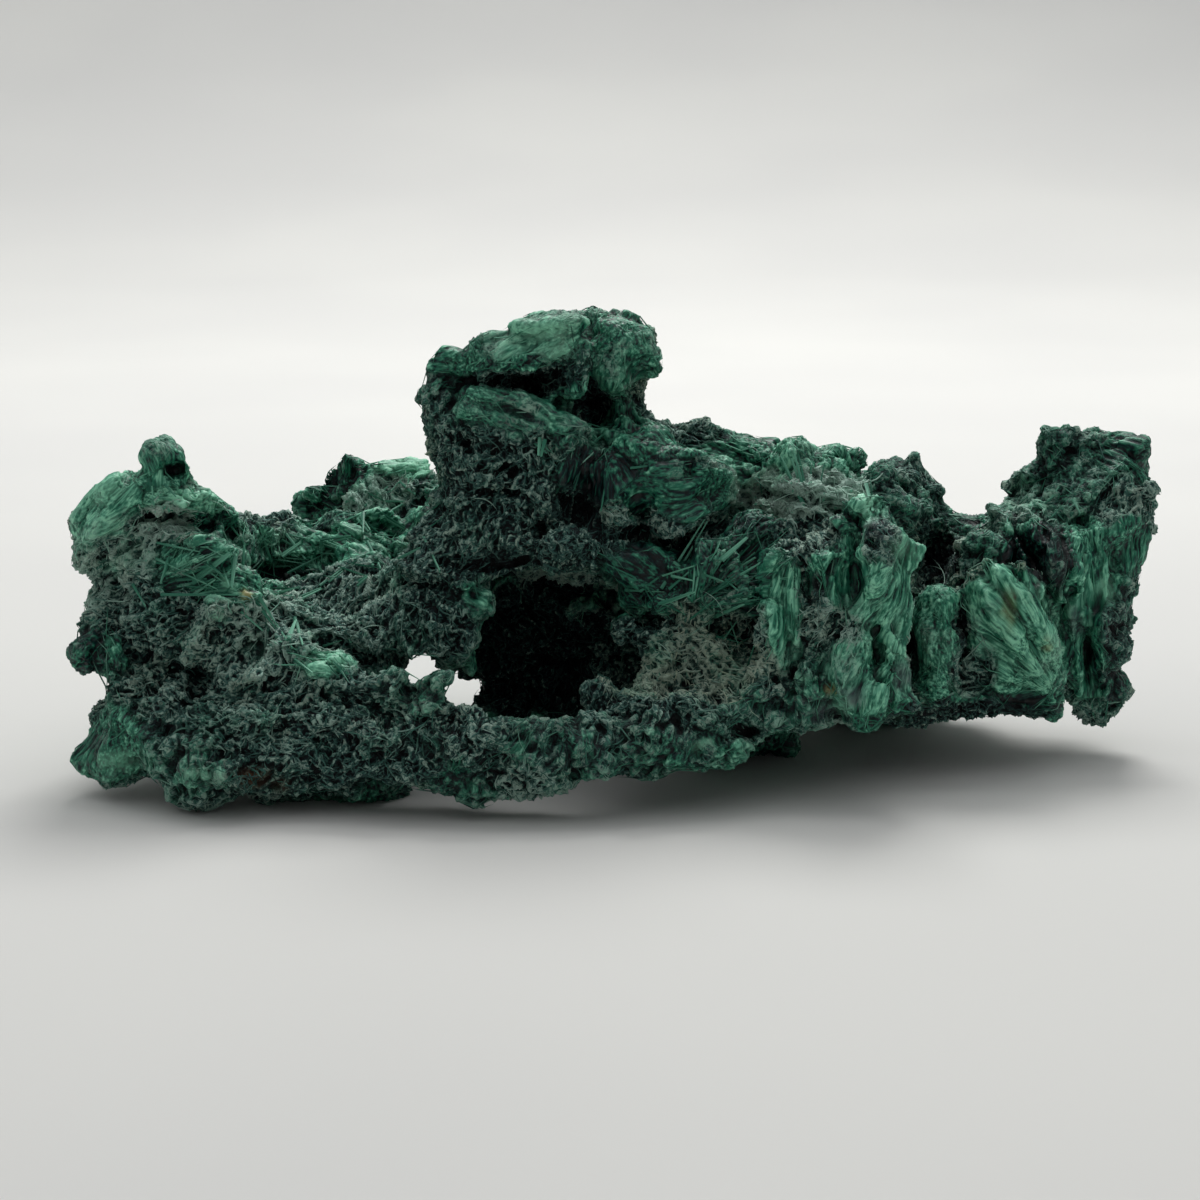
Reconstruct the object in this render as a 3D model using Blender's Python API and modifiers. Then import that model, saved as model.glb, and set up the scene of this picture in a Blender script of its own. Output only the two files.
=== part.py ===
"""A specimen of fibrous malachite, grown as one rugged, hollowed mass.

X runs along the length, Y away from the viewer, Z up. The stone rests on four small
worn pads at Z = 0. Every place and size below is in millimetres, taken to metres
when it is built. The outer forms are hulls drawn round balls, the hollows are made
the same way and cut out, and the whole is then fused into one skin.
"""
import math

import bmesh
import bpy
from mathutils import Euler, Matrix, Vector

MM = 0.001

LENGTH = 92.0
DEPTH = 42.0
HEIGHT = 38.4

SKIN_CELL = 0.6
FACETS = 9600
SWELL_WIDTH = 4.2
SWELL_HEIGHT = 2.6
KNOB_WIDTH = 3.4
KNOB_HEIGHT = 2.3
PAD_CUT = 0.45

STONE = "malachite"


def add_mesh(target, piece):
    """Adds the faces of one bmesh to another and frees the first."""
    holder = bpy.data.meshes.new("holder")
    piece.to_mesh(holder)
    piece.free()
    target.from_mesh(holder)
    bpy.data.meshes.remove(holder)


def add_hull(target, *balls):
    """The tight skin round some balls, each given as (x, y, z, radius)."""
    hull = bmesh.new()
    for x, y, z, radius in balls:
        place = Matrix.Translation(Vector((x, y, z)) * MM)
        bmesh.ops.create_icosphere(hull, subdivisions=2, radius=radius * MM, matrix=place)
    bmesh.ops.delete(hull, geom=hull.edges[:] + hull.faces[:], context="EDGES_FACES")
    skin = bmesh.ops.convex_hull(hull, input=hull.verts[:])
    spare = [item for item in skin["geom_interior"] if isinstance(item, bmesh.types.BMVert)]
    bmesh.ops.delete(hull, geom=spare, context="VERTS")
    bmesh.ops.recalc_face_normals(hull, faces=hull.faces[:])
    add_mesh(target, hull)


def add_chain(target, *balls):
    """A limb: hulls round each ball and the next one along."""
    for first, second in zip(balls, balls[1:]):
        add_hull(target, first, second)


def add_lump(target, place, half, turn=(0, 0, 0)):
    """An ellipsoid with its half sizes and its turn in degrees."""
    rotation = Euler([math.radians(angle) for angle in turn])
    matrix = Matrix.LocRotScale(Vector(place) * MM, rotation, Vector(half) * MM)
    bmesh.ops.create_icosphere(target, subdivisions=3, radius=1.0, matrix=matrix)


def add_fan(target, root, aim, across, length, spread, blades, thick):
    """Flat crystals that leave one root side by side, like the teeth of a shell.

    aim is the middle direction, across the direction in which they spread.
    """
    aim = Vector(aim).normalized()
    across = Vector(across)
    across = (across - across.project(aim)).normalized()
    root = Vector(root)
    for index in range(blades):
        share = (index + 0.5) / blades - 0.5
        angle = math.radians(spread) * share
        heading = aim * math.cos(angle) + across * math.sin(angle)
        side = across * math.cos(angle) - aim * math.sin(angle)
        reach = length * (1.0 - 0.22 * (index % 2))
        half_width = 0.36 * length * math.radians(spread) / blades
        tip = root + heading * reach
        start = root + heading * (0.15 * length)
        left = tip + side * half_width
        right = tip - side * half_width
        add_hull(target, (*start, thick), (*left, 0.55 * thick), (*right, 0.55 * thick))


def left_mass(stone):
    """The wedge at the left: a toe along the floor that climbs to a small peak."""
    add_hull(stone, (-37.5, -5, 12, 4.4), (-30, -9, 8.5, 6), (-24, -9, 7.6, 5.4), (-34, 1, 11, 6))
    add_hull(stone, (-38.5, -4, 16.5, 3.6), (-33, -6, 15, 5), (-34, 1, 15, 5), (-37, -5, 21, 3.6))
    add_hull(stone, (-40.6, -3.5, 20.4, 3.3), (-36.6, -5.5, 24, 2.4), (-35, -4, 21.5, 3.2))
    add_hull(stone, (-40.8, -4.4, 17.2, 2.2), (-39.6, -6.6, 14, 2.3), (-37, -5, 18, 3.4))
    add_hull(stone, (-35.1, -6.6, 27.7, 1.8), (-33.8, -6.4, 27.4, 1.8), (-34.6, -5.6, 23.5, 2.4))
    add_hull(stone, (-36.8, -6.2, 24.8, 1.6), (-41, -4.4, 22, 2.1))
    add_hull(stone, (-33, -5, 22, 1.9), (-31.2, 2, 18.2, 3), (-35, -1, 18, 4))
    add_chain(
        stone,
        (-34.4, -7.4, 23.4, 1.9), (-31.6, -9.6, 17.2, 2.5), (-27.4, -12.4, 12.4, 2.3),
        (-21.6, -14.6, 10.2, 2), (-16.4, -16.6, 9.2, 1.7), (-13.2, -17.6, 8.8, 1.7),
    )
    add_hull(
        stone, (-40.6, -12, 4.2, 2), (-37, -14.8, 3.9, 2.4), (-38.4, -9.4, 8, 2.8),
        (-33, -14, 6, 3.6),
    )
    add_hull(stone, (-35, -15.6, 4, 2.6), (-28, -17.4, 4.6, 2.8), (-28, -13, 9, 3.2), (-34, -12, 9, 3.8))
    add_hull(
        stone, (-28, -17.4, 4.6, 2.7), (-20.4, -18, 5.4, 2.6), (-14, -18.4, 5.4, 2.4),
        (-20, -14.4, 8.4, 2.4),
    )
    add_hull(stone, (-24.4, -16, 8.2, 2), (-22.4, -15.2, 10.2, 1.4), (-25.6, -17.2, 5.4, 2))
    add_hull(stone, (-31, -15.6, 6.2, 2.2), (-30.6, -13.4, 10.6, 1.7), (-33.6, -14, 7.6, 2))
    add_hull(stone, (-41.4, -12, 11.9, 1.6), (-39.8, -10.6, 11.6, 1.2), (-37, -8.6, 11, 2))
    add_hull(stone, (-36.6, -8.8, 14.4, 2.2), (-38.6, -7.4, 10, 2.2), (-34.4, -10, 11, 2.6))
    add_lump(stone, (-29.6, -10.8, 14.6), (2.4, 1.6, 2.2), (20, 25, 0))
    add_chain(
        stone, (-38.4, -8, 18.6, 1.5), (-35.6, -11.4, 13.6, 1.5), (-30.4, -15.4, 9.4, 1.5),
        (-24.4, -17.4, 7, 1.4),
    )
    add_chain(
        stone, (-41, -9, 14.4, 1.3), (-38.6, -12.4, 9.4, 1.6), (-34, -16.4, 6.6, 1.5),
        (-29, -18.6, 5, 1.3),
    )
    add_chain(stone, (-42.4, -6, 19, 1.2), (-39.6, -8.6, 22.4, 1.2), (-37, -8.4, 25.2, 1))
    for x, y, z in (
        (-26.4, -16.6, 10.6), (-20.6, -17.6, 9), (-23.4, -19, 6.4), (-33.4, -17.4, 4), (-17.4, -19.4, 6.6)
    ):
        add_lump(stone, (x, y, z), (1.5, 1.2, 1.1), (0, 25, 30))


def saddle(stone):
    """The low platform between the left peak and the tower, covered in lying needles."""
    add_hull(stone, (-29, -8, 13, 2.6), (-28.6, 10, 14.6, 3), (-17, 11, 15.4, 3), (-18.4, -7, 12.2, 2.6))
    add_hull(stone, (-33, 6, 11, 5), (-28, 13, 8.4, 5), (-34, 0, 11, 5), (-29, 8, 13, 4))
    add_hull(stone, (-22, 13.6, 12, 4.2), (-28, 12, 11, 4.4), (-18, 12, 14, 3.6))
    for start, end, width in (
        ((-28.6, -6, 16), (-22, -2.4, 16.6), 1),
        ((-26, 4, 18), (-19.6, -1, 17), 1.1),
        ((-24.6, -9, 14.4), (-22.6, -1.6, 16.8), 0.9),
        ((-30, 3, 18.6), (-25.6, 7.6, 19), 1.1),
        ((-21.6, 4, 18.6), (-16.6, -3, 16.6), 1.1),
        ((-24.6, 10.6, 18.6), (-18.6, 7.6, 19.6), 1),
    ):
        add_hull(stone, (*start, width), (*end, width))


def back_ridge(stone):
    """The short crest behind the saddle, with a horn, a peak and a flat plate."""
    add_hull(
        stone, (-26, 17, 15.6, 2.2), (-20.6, 16.6, 17.4, 2.6), (-16.4, 14, 17.4, 2.6),
        (-22, 14, 11, 3.6),
    )
    add_hull(stone, (-26.4, 17.2, 16.4, 1.5), (-26.7, 17.6, 20.3, 1.15))
    add_hull(stone, (-24.2, 17, 18.6, 1.6), (-23.2, 17, 22.5, 1.2), (-22, 17, 20.8, 1.5))
    add_hull(
        stone, (-21.4, 17.6, 21.4, 1.1), (-16, 16.6, 21.8, 1.2), (-15.6, 13.4, 20.8, 1.6),
        (-21, 14, 19.8, 1.5),
    )


def tower(stone):
    """The head that rises over the middle, with its brow and rounded lobes."""
    add_hull(stone, (-12.3, 1, 26.4, 2.7), (-12.9, 0.6, 31, 2.5), (-8, 3, 31.8, 3.4), (-6, 3, 24, 4.4))
    add_hull(stone, (-12.6, -0.6, 33, 1.8), (-8.6, -1.6, 34.6, 1.8), (-7.6, 3, 33.6, 2.2))
    add_hull(stone, (-8.4, -2.4, 34.8, 1.5), (-4.2, -2, 36.4, 1.8), (-4, 3, 35, 2.7))
    add_hull(stone, (-4.6, -2.6, 35.6, 1.6), (-2, -2.4, 34.6, 1.5), (-2.6, 2, 34.4, 2.4))
    add_hull(
        stone, (-0.6, 3, 36.7, 2.1), (2.4, 3.6, 36.2, 2.2), (3.4, 4, 33.6, 2.1),
        (-1.4, 4, 32.4, 2.6),
    )
    add_hull(stone, (0.5, -1, 35.2, 1.9), (0.6, 1, 34.6, 2))
    add_hull(stone, (3, 0, 34.4, 1.7), (3, 2, 34, 2))
    add_hull(stone, (1.2, -1, 32.4, 1.5), (1.4, 2, 32, 2))
    add_hull(stone, (-1.4, 3, 29, 3.6), (2.2, 3, 28.4, 2.8), (-4, 3, 25, 5), (1, 4, 32, 2.2))
    add_hull(stone, (-13.4, -1.4, 29.2, 1.6), (-12, -3.4, 26.4, 1.9), (-8, -3, 29.6, 2.4))
    add_hull(stone, (-9.8, -4, 30.6, 1.3), (-4.4, -5, 31, 1.3), (-5.4, -4, 27.6, 2.2), (-10, -4, 27, 2))
    add_lump(stone, (-3.2, -3, 33.2), (1.4, 1.4, 1.2))
    add_hull(stone, (-10.6, -3.6, 34, 1), (-6, -4.6, 35.6, 1.1), (-3, -3.8, 35.8, 1))


def central_face(stone):
    """The slope under the tower: a mossy crust at its left and fans of crystal at its right."""
    add_hull(
        stone, (-12, -1, 21.6, 3), (-9, -3.4, 25, 2.8), (-3, -4.6, 26, 2.6), (-4, 4, 22, 5),
        (-12, 6, 20, 4),
    )
    add_hull(
        stone, (-3, -4.6, 26, 2.6), (3.4, -3.6, 25.4, 2.8), (3, 3, 25.6, 3.2), (-4, 0, 20, 4),
        (5, 0, 20, 4),
    )
    add_hull(
        stone, (4, 2, 27, 2.8), (7.6, 1.6, 26, 2.8), (12.4, 1.4, 24.8, 2.8), (9, 0, 20, 3.4),
        (6, 3, 20, 4),
    )
    add_hull(
        stone, (-13.4, -5.6, 18.6, 2.2), (-6, -7.6, 20.2, 2), (-5, -5, 23, 2.4),
        (-11.6, -3.6, 22.6, 2.2),
    )
    add_hull(stone, (-6, -7.6, 20.2, 2), (1, -7.4, 19.6, 2), (2.4, -5.4, 22.4, 2.2), (-5, -5, 23, 2.4))
    add_hull(
        stone, (-16.6, -6.4, 14.4, 1.8), (-13.4, -7.4, 17.4, 2), (-13, -4, 18, 3),
        (-18, -4, 14, 2.4),
    )
    add_hull(
        stone, (-19, -9.4, 13.4, 1.7), (-14, -9.8, 13.6, 1.7), (-15, -4, 14.6, 2.2),
        (-20, -5, 13.6, 2),
    )
    add_hull(
        stone, (-14, -9.8, 13.6, 1.7), (-10.6, -9.2, 13.4, 1.6), (-11, -7, 17, 2.2),
        (-14.4, -6, 16.6, 2.2),
    )
    add_hull(
        stone, (-13.6, -9.4, 12.2, 1.2), (-10.6, -9, 9.6, 0.9), (-10.2, -8.6, 13, 1.4),
        (-12.4, -5, 13.4, 1.6),
    )
    add_hull(stone, (4, -7, 17.4, 2.4), (6, -8.6, 12.4, 2.8), (10.4, -6, 12.6, 3.4), (9, -4, 18, 3.4))
    add_hull(stone, (8.6, -5.2, 19.4, 2), (13, -6, 18.4, 2.6), (12, -7, 13, 3))
    add_fan(stone, (5.2, -3.4, 29), (-0.55, -0.55, -0.7), (1, 0, -0.7), 6.6, 66, 4, 1.2)
    add_fan(stone, (3, -5, 26.4), (-0.5, -0.6, -0.6), (0.8, 0, -0.8), 5.4, 90, 4, 1.1)
    add_lump(stone, (7.4, -4.4, 24.6), (3.8, 3, 3.4), (0, 20, 0))
    add_fan(stone, (10.6, -5.4, 25), (-0.9, -0.3, 0.1), (0, 0, 1), 7.4, 70, 5, 1.1)
    add_fan(stone, (6.6, -8.4, 14.8), (-0.35, -0.2, 0.92), (1, 0, 0.3), 6.6, 80, 5, 1.1)
    add_fan(stone, (7.6, -9.4, 15.6), (0.9, -0.15, 0.5), (0, 0, 1), 6, 100, 5, 1)
    add_fan(stone, (11.4, -7.4, 22.8), (0.4, -0.5, -0.75), (0.8, 0, 0.5), 5, 90, 4, 1)


def sill(stone):
    """The bar across the front under the cave mouth, its curl, and its small hanging foot."""
    add_chain(
        stone,
        (-14, -18.2, 6.2, 2.9), (-9, -18.8, 6, 2.8), (-3, -19, 5.9, 2.7),
        (3, -17.8, 6.1, 2.8), (8.6, -15.4, 6.6, 2.9), (14.6, -12.6, 8, 3),
    )
    add_hull(stone, (-10.4, -19.2, 4.4, 1.7), (-10, -19.4, 2.7, 0.9), (-12.6, -18.6, 3.8, 1.4))
    add_hull(stone, (-6.8, -19, 4.4, 1.7), (-3.4, -19, 4.2, 1.8))
    add_chain(
        stone, (-16.2, -16.8, 10.4, 0.9), (-14.6, -17.4, 11.4, 0.8), (-12.6, -17.6, 10.8, 0.9),
        (-11.8, -17.8, 9, 1.1),
    )
    add_hull(stone, (-15.4, -19, 9, 1), (-13.4, -19.6, 7.4, 1.1), (-11, -19.4, 5.2, 1.2))
    add_hull(
        stone, (5.4, -11, 8.8, 2.8), (11.4, -9.6, 9.6, 2.8), (8.8, -14, 6.8, 2.5),
        (13.6, -11.6, 6.8, 2.4),
    )
    add_hull(stone, (1.8, -15, 7, 2.2), (7, -12, 8, 2.4), (4.6, -16, 6.6, 2.2))


def curtain(stone):
    """The hanging silky fin that stands forward at the middle right, in folds."""
    add_hull(
        stone, (20.6, -9.6, 23, 1.6), (23.8, -11, 20.6, 1.3), (21.8, -12.8, 14.6, 1.6),
        (16.8, -10, 18, 2),
    )
    add_hull(
        stone, (21.8, -12.8, 14.6, 1.6), (16.6, -12, 15.6, 2), (15.4, -12.6, 9.4, 2),
        (21.4, -12.8, 9.8, 1.7),
    )
    add_hull(stone, (21.4, -12.8, 9.8, 1.7), (24, -11.2, 10, 1), (20, -11.6, 7, 1.5), (22, -7, 9, 2))
    add_hull(stone, (15.4, -12.6, 9.4, 2), (20, -11.6, 7, 1.5), (13.6, -12.6, 6.8, 2), (17, -6, 9, 3))
    add_hull(stone, (17, -6, 20, 3.4), (20, -6, 18, 3), (18, -6, 11, 4), (13, -4, 19, 3.4))
    for foot, top in (
        ((13, -14.6, 9.4), (14.4, -12.2, 20.4)),
        ((16.4, -16.2, 7.6), (17.8, -14.2, 20.8)),
        ((20.2, -15.8, 8.4), (22.4, -14, 22.4)),
    ):
        add_hull(
            stone, (*foot, 0.9), (*top, 0.8), (foot[0] + 0.6, foot[1] + 4, foot[2], 1.2),
            (top[0], top[1] + 4, top[2], 1),
        )


def upper_mound(stone):
    """The rounded crown right of the tower and the dark knobs behind it."""
    add_hull(
        stone, (14, 0, 23.6, 2.6), (17, -1, 25.2, 2.5), (20.2, -0.6, 25, 2.5), (17, 3, 19, 4),
        (16, -4, 21, 3),
    )
    add_lump(stone, (16.4, -2.6, 26.2), (1.9, 1.8, 1.6))
    add_lump(stone, (19.8, -2, 26.2), (2, 1.8, 1.5), (0, 15, 0))
    add_hull(stone, (20.6, -5.6, 23.4, 1.8), (22.6, -3.6, 23.2, 1.6), (20, -2, 22, 3))
    add_hull(stone, (22.6, 5, 20, 2.8), (28, 6, 18.6, 2.6), (27, 3, 13, 4), (20, 4, 15, 5))
    for place, size in (
        ((23.2, 8, 23.1), 1.8), ((26, 8.4, 22.8), 1.8), ((28.8, 8.6, 21.7), 1.8), ((30.8, 7, 19.6), 1.7),
        ((24.8, 4.4, 23), 1.6), ((27.6, 4, 21.6), 1.5), ((29, 3, 19), 1.4), ((25.6, 1, 20.8), 1.5),
    ):
        add_lump(stone, place, (size, size, 0.9 * size))


def right_fan(stone):
    """The big slanting fan, the pillow beside it and the leaves above it."""
    add_hull(
        stone, (30.9, -3.6, 17.4, 1.4), (35.4, -3.4, 14.6, 1.5), (38.4, -2.6, 8, 1.7),
        (33, -5, 7.2, 1.7), (30.4, -5.4, 10, 1.5),
    )
    add_hull(stone, (30.4, -4, 18.6, 1.4), (33, -3.6, 19, 1.1), (32, 0, 17, 2.4))
    add_hull(stone, (27.8, -5.6, 14.6, 1.5), (27.8, -6.6, 9.8, 1.5), (27.6, -4, 11, 1.8))
    add_hull(stone, (32, 1, 13, 4.4), (37, 1, 11, 3.8), (26, 0, 11, 4), (33, 4, 16, 3.4))
    add_hull(
        stone, (23.6, -7.6, 7.4, 2), (29.6, -6.6, 6.6, 1.8), (34, -4.6, 6.2, 1.8),
        (38, -3, 6.4, 1.7), (27, 0, 9, 3),
    )
    add_fan(stone, (39.4, -4.8, 6.8), (-0.72, -0.18, 0.68), (0.66, 0, 0.75), 13, 56, 5, 1.2)
    for step in range(5):
        x = 33.6 + 1.75 * step
        add_hull(
            stone, (x, 2, 22 - 0.4 * step, 0.8), (x + 1.5, -2.8, 16.4 - 1.1 * step, 0.75),
            (x + 1, 3, 14.6, 1),
        )


def column(stone):
    """The upright slab at the right end, with a flat knobby top."""
    add_hull(
        stone, (39.6, 7.6, 25, 2.3), (45.4, 7.6, 25.2, 2.3), (45.6, 4.4, 20.4, 2.1),
        (39.6, 4, 19, 2.6),
    )
    add_hull(stone, (39.6, 4, 19, 2.6), (45.4, 4.4, 20.4, 2), (43, 2, 15, 2.7), (38.6, 3, 13, 3.4))
    add_hull(stone, (43, 2, 15, 2.4), (43.4, 1.4, 9, 2.2), (38, 1, 10, 3), (39, 4, 14, 3))
    add_hull(stone, (43.4, 1.2, 9, 1.8), (43.7, 1, 5, 1.6), (40.6, 0.2, 6.6, 2))
    add_hull(stone, (40.2, 0, 18.6, 1), (41.4, -2, 8.6, 1), (40, 2, 12, 1.6))
    add_hull(stone, (43.4, 1.2, 21, 1), (43.6, -0.8, 10, 0.9), (43, 3, 14, 1.4))
    add_hull(stone, (46, 3.6, 21.4, 1.7), (46.2, 2.4, 17.8, 1.3), (43, 2, 18, 2))
    add_hull(
        stone, (33, 5, 18, 2.2), (36.6, 6, 20.2, 2.1), (39.6, 7, 23.4, 2), (38, 6, 14, 3.4),
        (33, 6, 13, 3.4),
    )
    add_lump(stone, (36.7, 8, 22.4), (1.1, 1.1, 1.3))
    for index in range(6):
        add_lump(
            stone, (38.4 + 1.75 * index, 6.6 + 0.8 * (index % 2), 26.2 + 0.25 * (index % 3)),
            (1.25, 1.25, 1),
        )


def hidden_back(stone):
    """The side away from the viewer: terraces, a spine and a spur, as rugged as the front."""
    add_hull(stone, (-8, 9, 19, 5), (1, 10, 17, 6), (9, 8.6, 16, 6), (-2, 4, 24, 4.4), (-14, 9, 16, 4.4))
    add_hull(stone, (9, 8.6, 16, 5.4), (17, 9, 14, 6), (24, 9, 12, 5.4), (17, 3, 18, 5))
    add_hull(stone, (24, 9, 12, 5), (33, 8, 11.6, 4.4), (40, 6.4, 11, 3.4), (30, 4, 14, 4.4))
    add_hull(stone, (-3, 15.4, 16, 2.6), (4.4, 16.6, 13.4, 2.8), (11, 15, 12, 3), (2, 11, 20, 2.6))
    add_hull(stone, (-6, 10, 25, 1.6), (0.6, 11.4, 23.6, 1.8), (5, 9.4, 24, 1.8), (-2, 6, 27, 2.4))
    add_hull(stone, (18, 15.4, 11.6, 2.4), (26, 14, 10, 2.8), (22, 12, 16, 2.4))
    add_hull(stone, (-18, 17, 12.6, 2.4), (-12, 16, 14, 2.4), (-10, 11, 18, 3), (-20, 14, 16, 3))
    add_hull(stone, (-9, 9, 11, 4), (9, 9, 10, 5), (-8, 10.6, 5.6, 2.6), (8, 10, 5.4, 3), (-6, 12, 8, 3))
    add_hull(
        stone, (-8.2, 11, 3.6, 2.4), (2, 11, 3.6, 2.4), (6, 11, 4, 2.6), (-8, 12.4, 8, 3), (6, 12, 8, 3),
    )
    add_fan(stone, (6, 12, 22), (0.2, 0.9, -0.5), (1, 0, 0), 7.6, 80, 5, 1.2)
    add_fan(stone, (28, 9, 17), (0.3, 0.9, -0.4), (1, 0, 0.2), 6.6, 80, 5, 1.1)
    add_fan(stone, (-31, 9, 16.4), (-0.5, 0.8, -0.3), (1, 0.6, 0), 7, 90, 5, 1.2)
    add_fan(stone, (-8, 12.6, 20), (-0.2, 0.9, -0.3), (1, 0, 0.3), 5.6, 70, 4, 1.1)


def feet(stone):
    """The four low places that touch the floor, cut flat in the last step."""
    add_hull(stone, (-25.4, -12.4, 2.6, 3.4), (-18.6, -12.8, 2.5, 3.2), (-23, -9, 7, 4), (-29, -11, 6, 4))
    add_hull(stone, (10, -0.6, 3, 3.4), (14, 2, 3, 3.4), (8, -8, 7, 3.6), (16, 6, 9, 5), (12, -6, 10, 4))
    add_hull(
        stone, (21, 12.4, 2.9, 3.4), (26.4, 12.6, 2.9, 3.2), (16, 12, 8, 4.6), (33, 10, 9, 4),
        (24, 12, 11, 4.4),
    )
    add_hull(
        stone, (-31.4, 11.6, 3, 3.8), (-26, 14, 3, 3.6), (-34, 4, 8, 4.6), (-22, 15, 9, 3.4),
        (-29, 10, 11, 5),
    )


def hollows():
    """Every space that weathering and growth left open, as one set of cutting shapes."""
    space = bmesh.new()
    add_hull(space, (-6.4, -15, 13.4, 2.8), (-3, -15, 13.6, 2.9), (-6.4, -6, 11.6, 3.8), (-3, -5, 11, 4))
    add_hull(space, (-3, -14, 12.4, 2), (-1, -13.6, 11.4, 1.9), (-2, -5, 10.4, 3.6))
    add_hull(space, (-7.4, -3, 8.4, 4.8), (1, -2, 6.8, 4.6), (-5, 3, 5.4, 4.8), (1, 3, 4.6, 4))
    add_hull(
        space, (-16.2, -16, 12.2, 0.85), (-14.8, -16, 12.1, 0.85), (-18.8, 26, 2.8, 2.6),
        (-15, 26, 2.8, 2.6),
    )
    add_hull(
        space, (-12, -16.4, 11.1, 0.8), (-10.6, -16.4, 10.5, 0.8), (-14.6, 26, 1.4, 2.2),
        (-13.8, 26, 1.2, 2.2),
    )
    add_hull(space, (-18, -2, 4.4, 3.8), (-11, 0, 5.4, 4.6), (-18, 9, 2.6, 4), (-14.8, 9, 2.6, 4))
    add_hull(space, (-18, 9, 2.6, 4), (-14.8, 9, 2.6, 4), (-18, 26, 1, 3.4), (-15.2, 26, 1, 3.4))
    add_hull(space, (1, 2, 2, 4.4), (-2, -10, 1, 3), (4, -12, 0.6, 2.6), (2, 6, 1.6, 3.6))
    add_hull(space, (20, 1, 1.2, 4), (34, -4, 0.8, 4.2), (40, 6, 1, 4.2), (22, 4, 1, 4))
    add_hull(space, (34, 14, 1.2, 4.2), (46, 8, 0.6, 4), (34, 4, 1.2, 4.2))
    add_hull(space, (-38, -2, 1.4, 3), (-36, 4, 1.2, 3), (-30, -1, 1.6, 3.4), (-22, 2, 2, 4))
    add_lump(space, (-7, -5.6, 33), (4.3, 3.2, 1.35), (0, -14, 0))
    add_lump(space, (-0.9, -5, 30.6), (1.5, 3.4, 1.9))
    add_lump(space, (-34.4, -8.8, 25.2), (0.9, 2.6, 0.9))
    add_lump(space, (-33, -14.4, 11), (2.8, 2, 1.9), (0, 25, 0))
    add_lump(space, (-28.4, -2, 17.4), (2, 2.4, 1.4))
    add_lump(space, (7.6, -6.6, 20.6), (0.9, 3, 1.3))
    add_lump(space, (3.2, -7.8, 22.4), (1.5, 2.6, 1.2), (0, 30, 0))
    add_lump(space, (3.2, -9.4, 14.4), (1.6, 2.4, 1.3))
    add_lump(space, (2.6, -11.4, 17.4), (3, 2.6, 2.8))
    add_hull(space, (11.8, -12.6, 15, 1.2), (11.4, -14.2, 10.2, 1.3), (12.4, -9.6, 13.4, 1.2))
    add_hull(space, (-1, -10.4, 21.8, 1.2), (-6, -10.4, 21.6, 1.1), (-3.4, -7.6, 21.8, 1.2))
    add_lump(space, (-10.8, -8.4, 24.2), (1.4, 2.2, 1.1), (0, 20, 0))
    add_lump(space, (-4.6, -9, 24.4), (1.8, 2.2, 0.9), (0, -25, 0))
    add_lump(space, (12.4, -14.6, 6.8), (1.1, 1.6, 1))
    add_hull(space, (27.6, -7.6, 18.6, 1.3), (28.2, -7, 16.2, 1.2), (27.8, 0, 18, 1.6))
    add_hull(space, (25.7, -11, 15.6, 0.7), (25.9, -11, 9.6, 0.6), (25.8, -4, 12, 0.9))
    add_hull(space, (29.5, -9, 13.6, 0.5), (29.4, -9, 9.6, 0.45), (29.4, -4.4, 12, 0.6))
    add_hull(space, (41.3, -1.6, 12.6, 0.5), (41, -2, 7.4, 0.45), (41, 1, 10, 0.6))
    add_lump(space, (37.6, 0.6, 22.6), (2, 3.6, 1.6), (0, -40, 0))
    add_lump(space, (41.4, 1.4, 22.6), (1.2, 2.6, 1.9), (0, 20, 0))
    add_lump(space, (43.6, -0.6, 17), (0.8, 2, 2.2), (0, 10, 0))
    add_lump(space, (4, 15.6, 18.6), (3, 2.4, 1.6))
    add_lump(space, (15, 15.4, 15), (2.6, 3, 2.2))
    add_lump(space, (-15, 16.4, 18.4), (2, 2.2, 1.4))
    add_lump(space, (34, 12, 15), (2.8, 2.6, 1.6), (0, 20, 0))
    add_lump(space, (-37, 5.4, 13), (2.2, 3, 1.8), (0, 0, 20))
    return space


def new_object(name, mesh_data, collection):
    """Puts a bmesh in the scene as an object."""
    mesh = bpy.data.meshes.new(name)
    mesh_data.to_mesh(mesh)
    mesh_data.free()
    piece = bpy.data.objects.new(name, mesh)
    collection.objects.link(piece)
    return piece


def fuse(piece, cell):
    """Makes overlapping shapes one closed skin of small even cells."""
    remesh = piece.modifiers.new("Fuse", "REMESH")
    remesh.mode = "VOXEL"
    remesh.voxel_size = cell * MM
    remesh.adaptivity = 0.0


def carve(piece, cutter):
    """Takes the cutter's volume out of the piece."""
    cut = piece.modifiers.new("Hollows", "BOOLEAN")
    cut.operation = "DIFFERENCE"
    cut.solver = "EXACT"
    cut.object = cutter


def roughen(piece, name, kind, size, strength):
    """Moves the skin in and out by a solid pattern of the given grain and height."""
    pattern = bpy.data.textures.new(name, kind)
    pattern.noise_scale = size * MM
    if kind == "CLOUDS":
        pattern.noise_depth = 2
    else:
        pattern.distance_metric = "DISTANCE"
    relief = piece.modifiers.new(name, "DISPLACE")
    relief.texture = pattern
    relief.texture_coords = "LOCAL"
    relief.strength = strength * MM
    relief.mid_level = 0.5


def settle(piece):
    """Replaces a mesh and its modifiers by the result."""
    bpy.context.view_layer.update()
    graph = bpy.context.evaluated_depsgraph_get()
    result = bpy.data.meshes.new_from_object(piece.evaluated_get(graph), depsgraph=graph)
    piece.modifiers.clear()
    old = piece.data
    piece.data = result
    bpy.data.meshes.remove(old)
    result.name = piece.name


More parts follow.
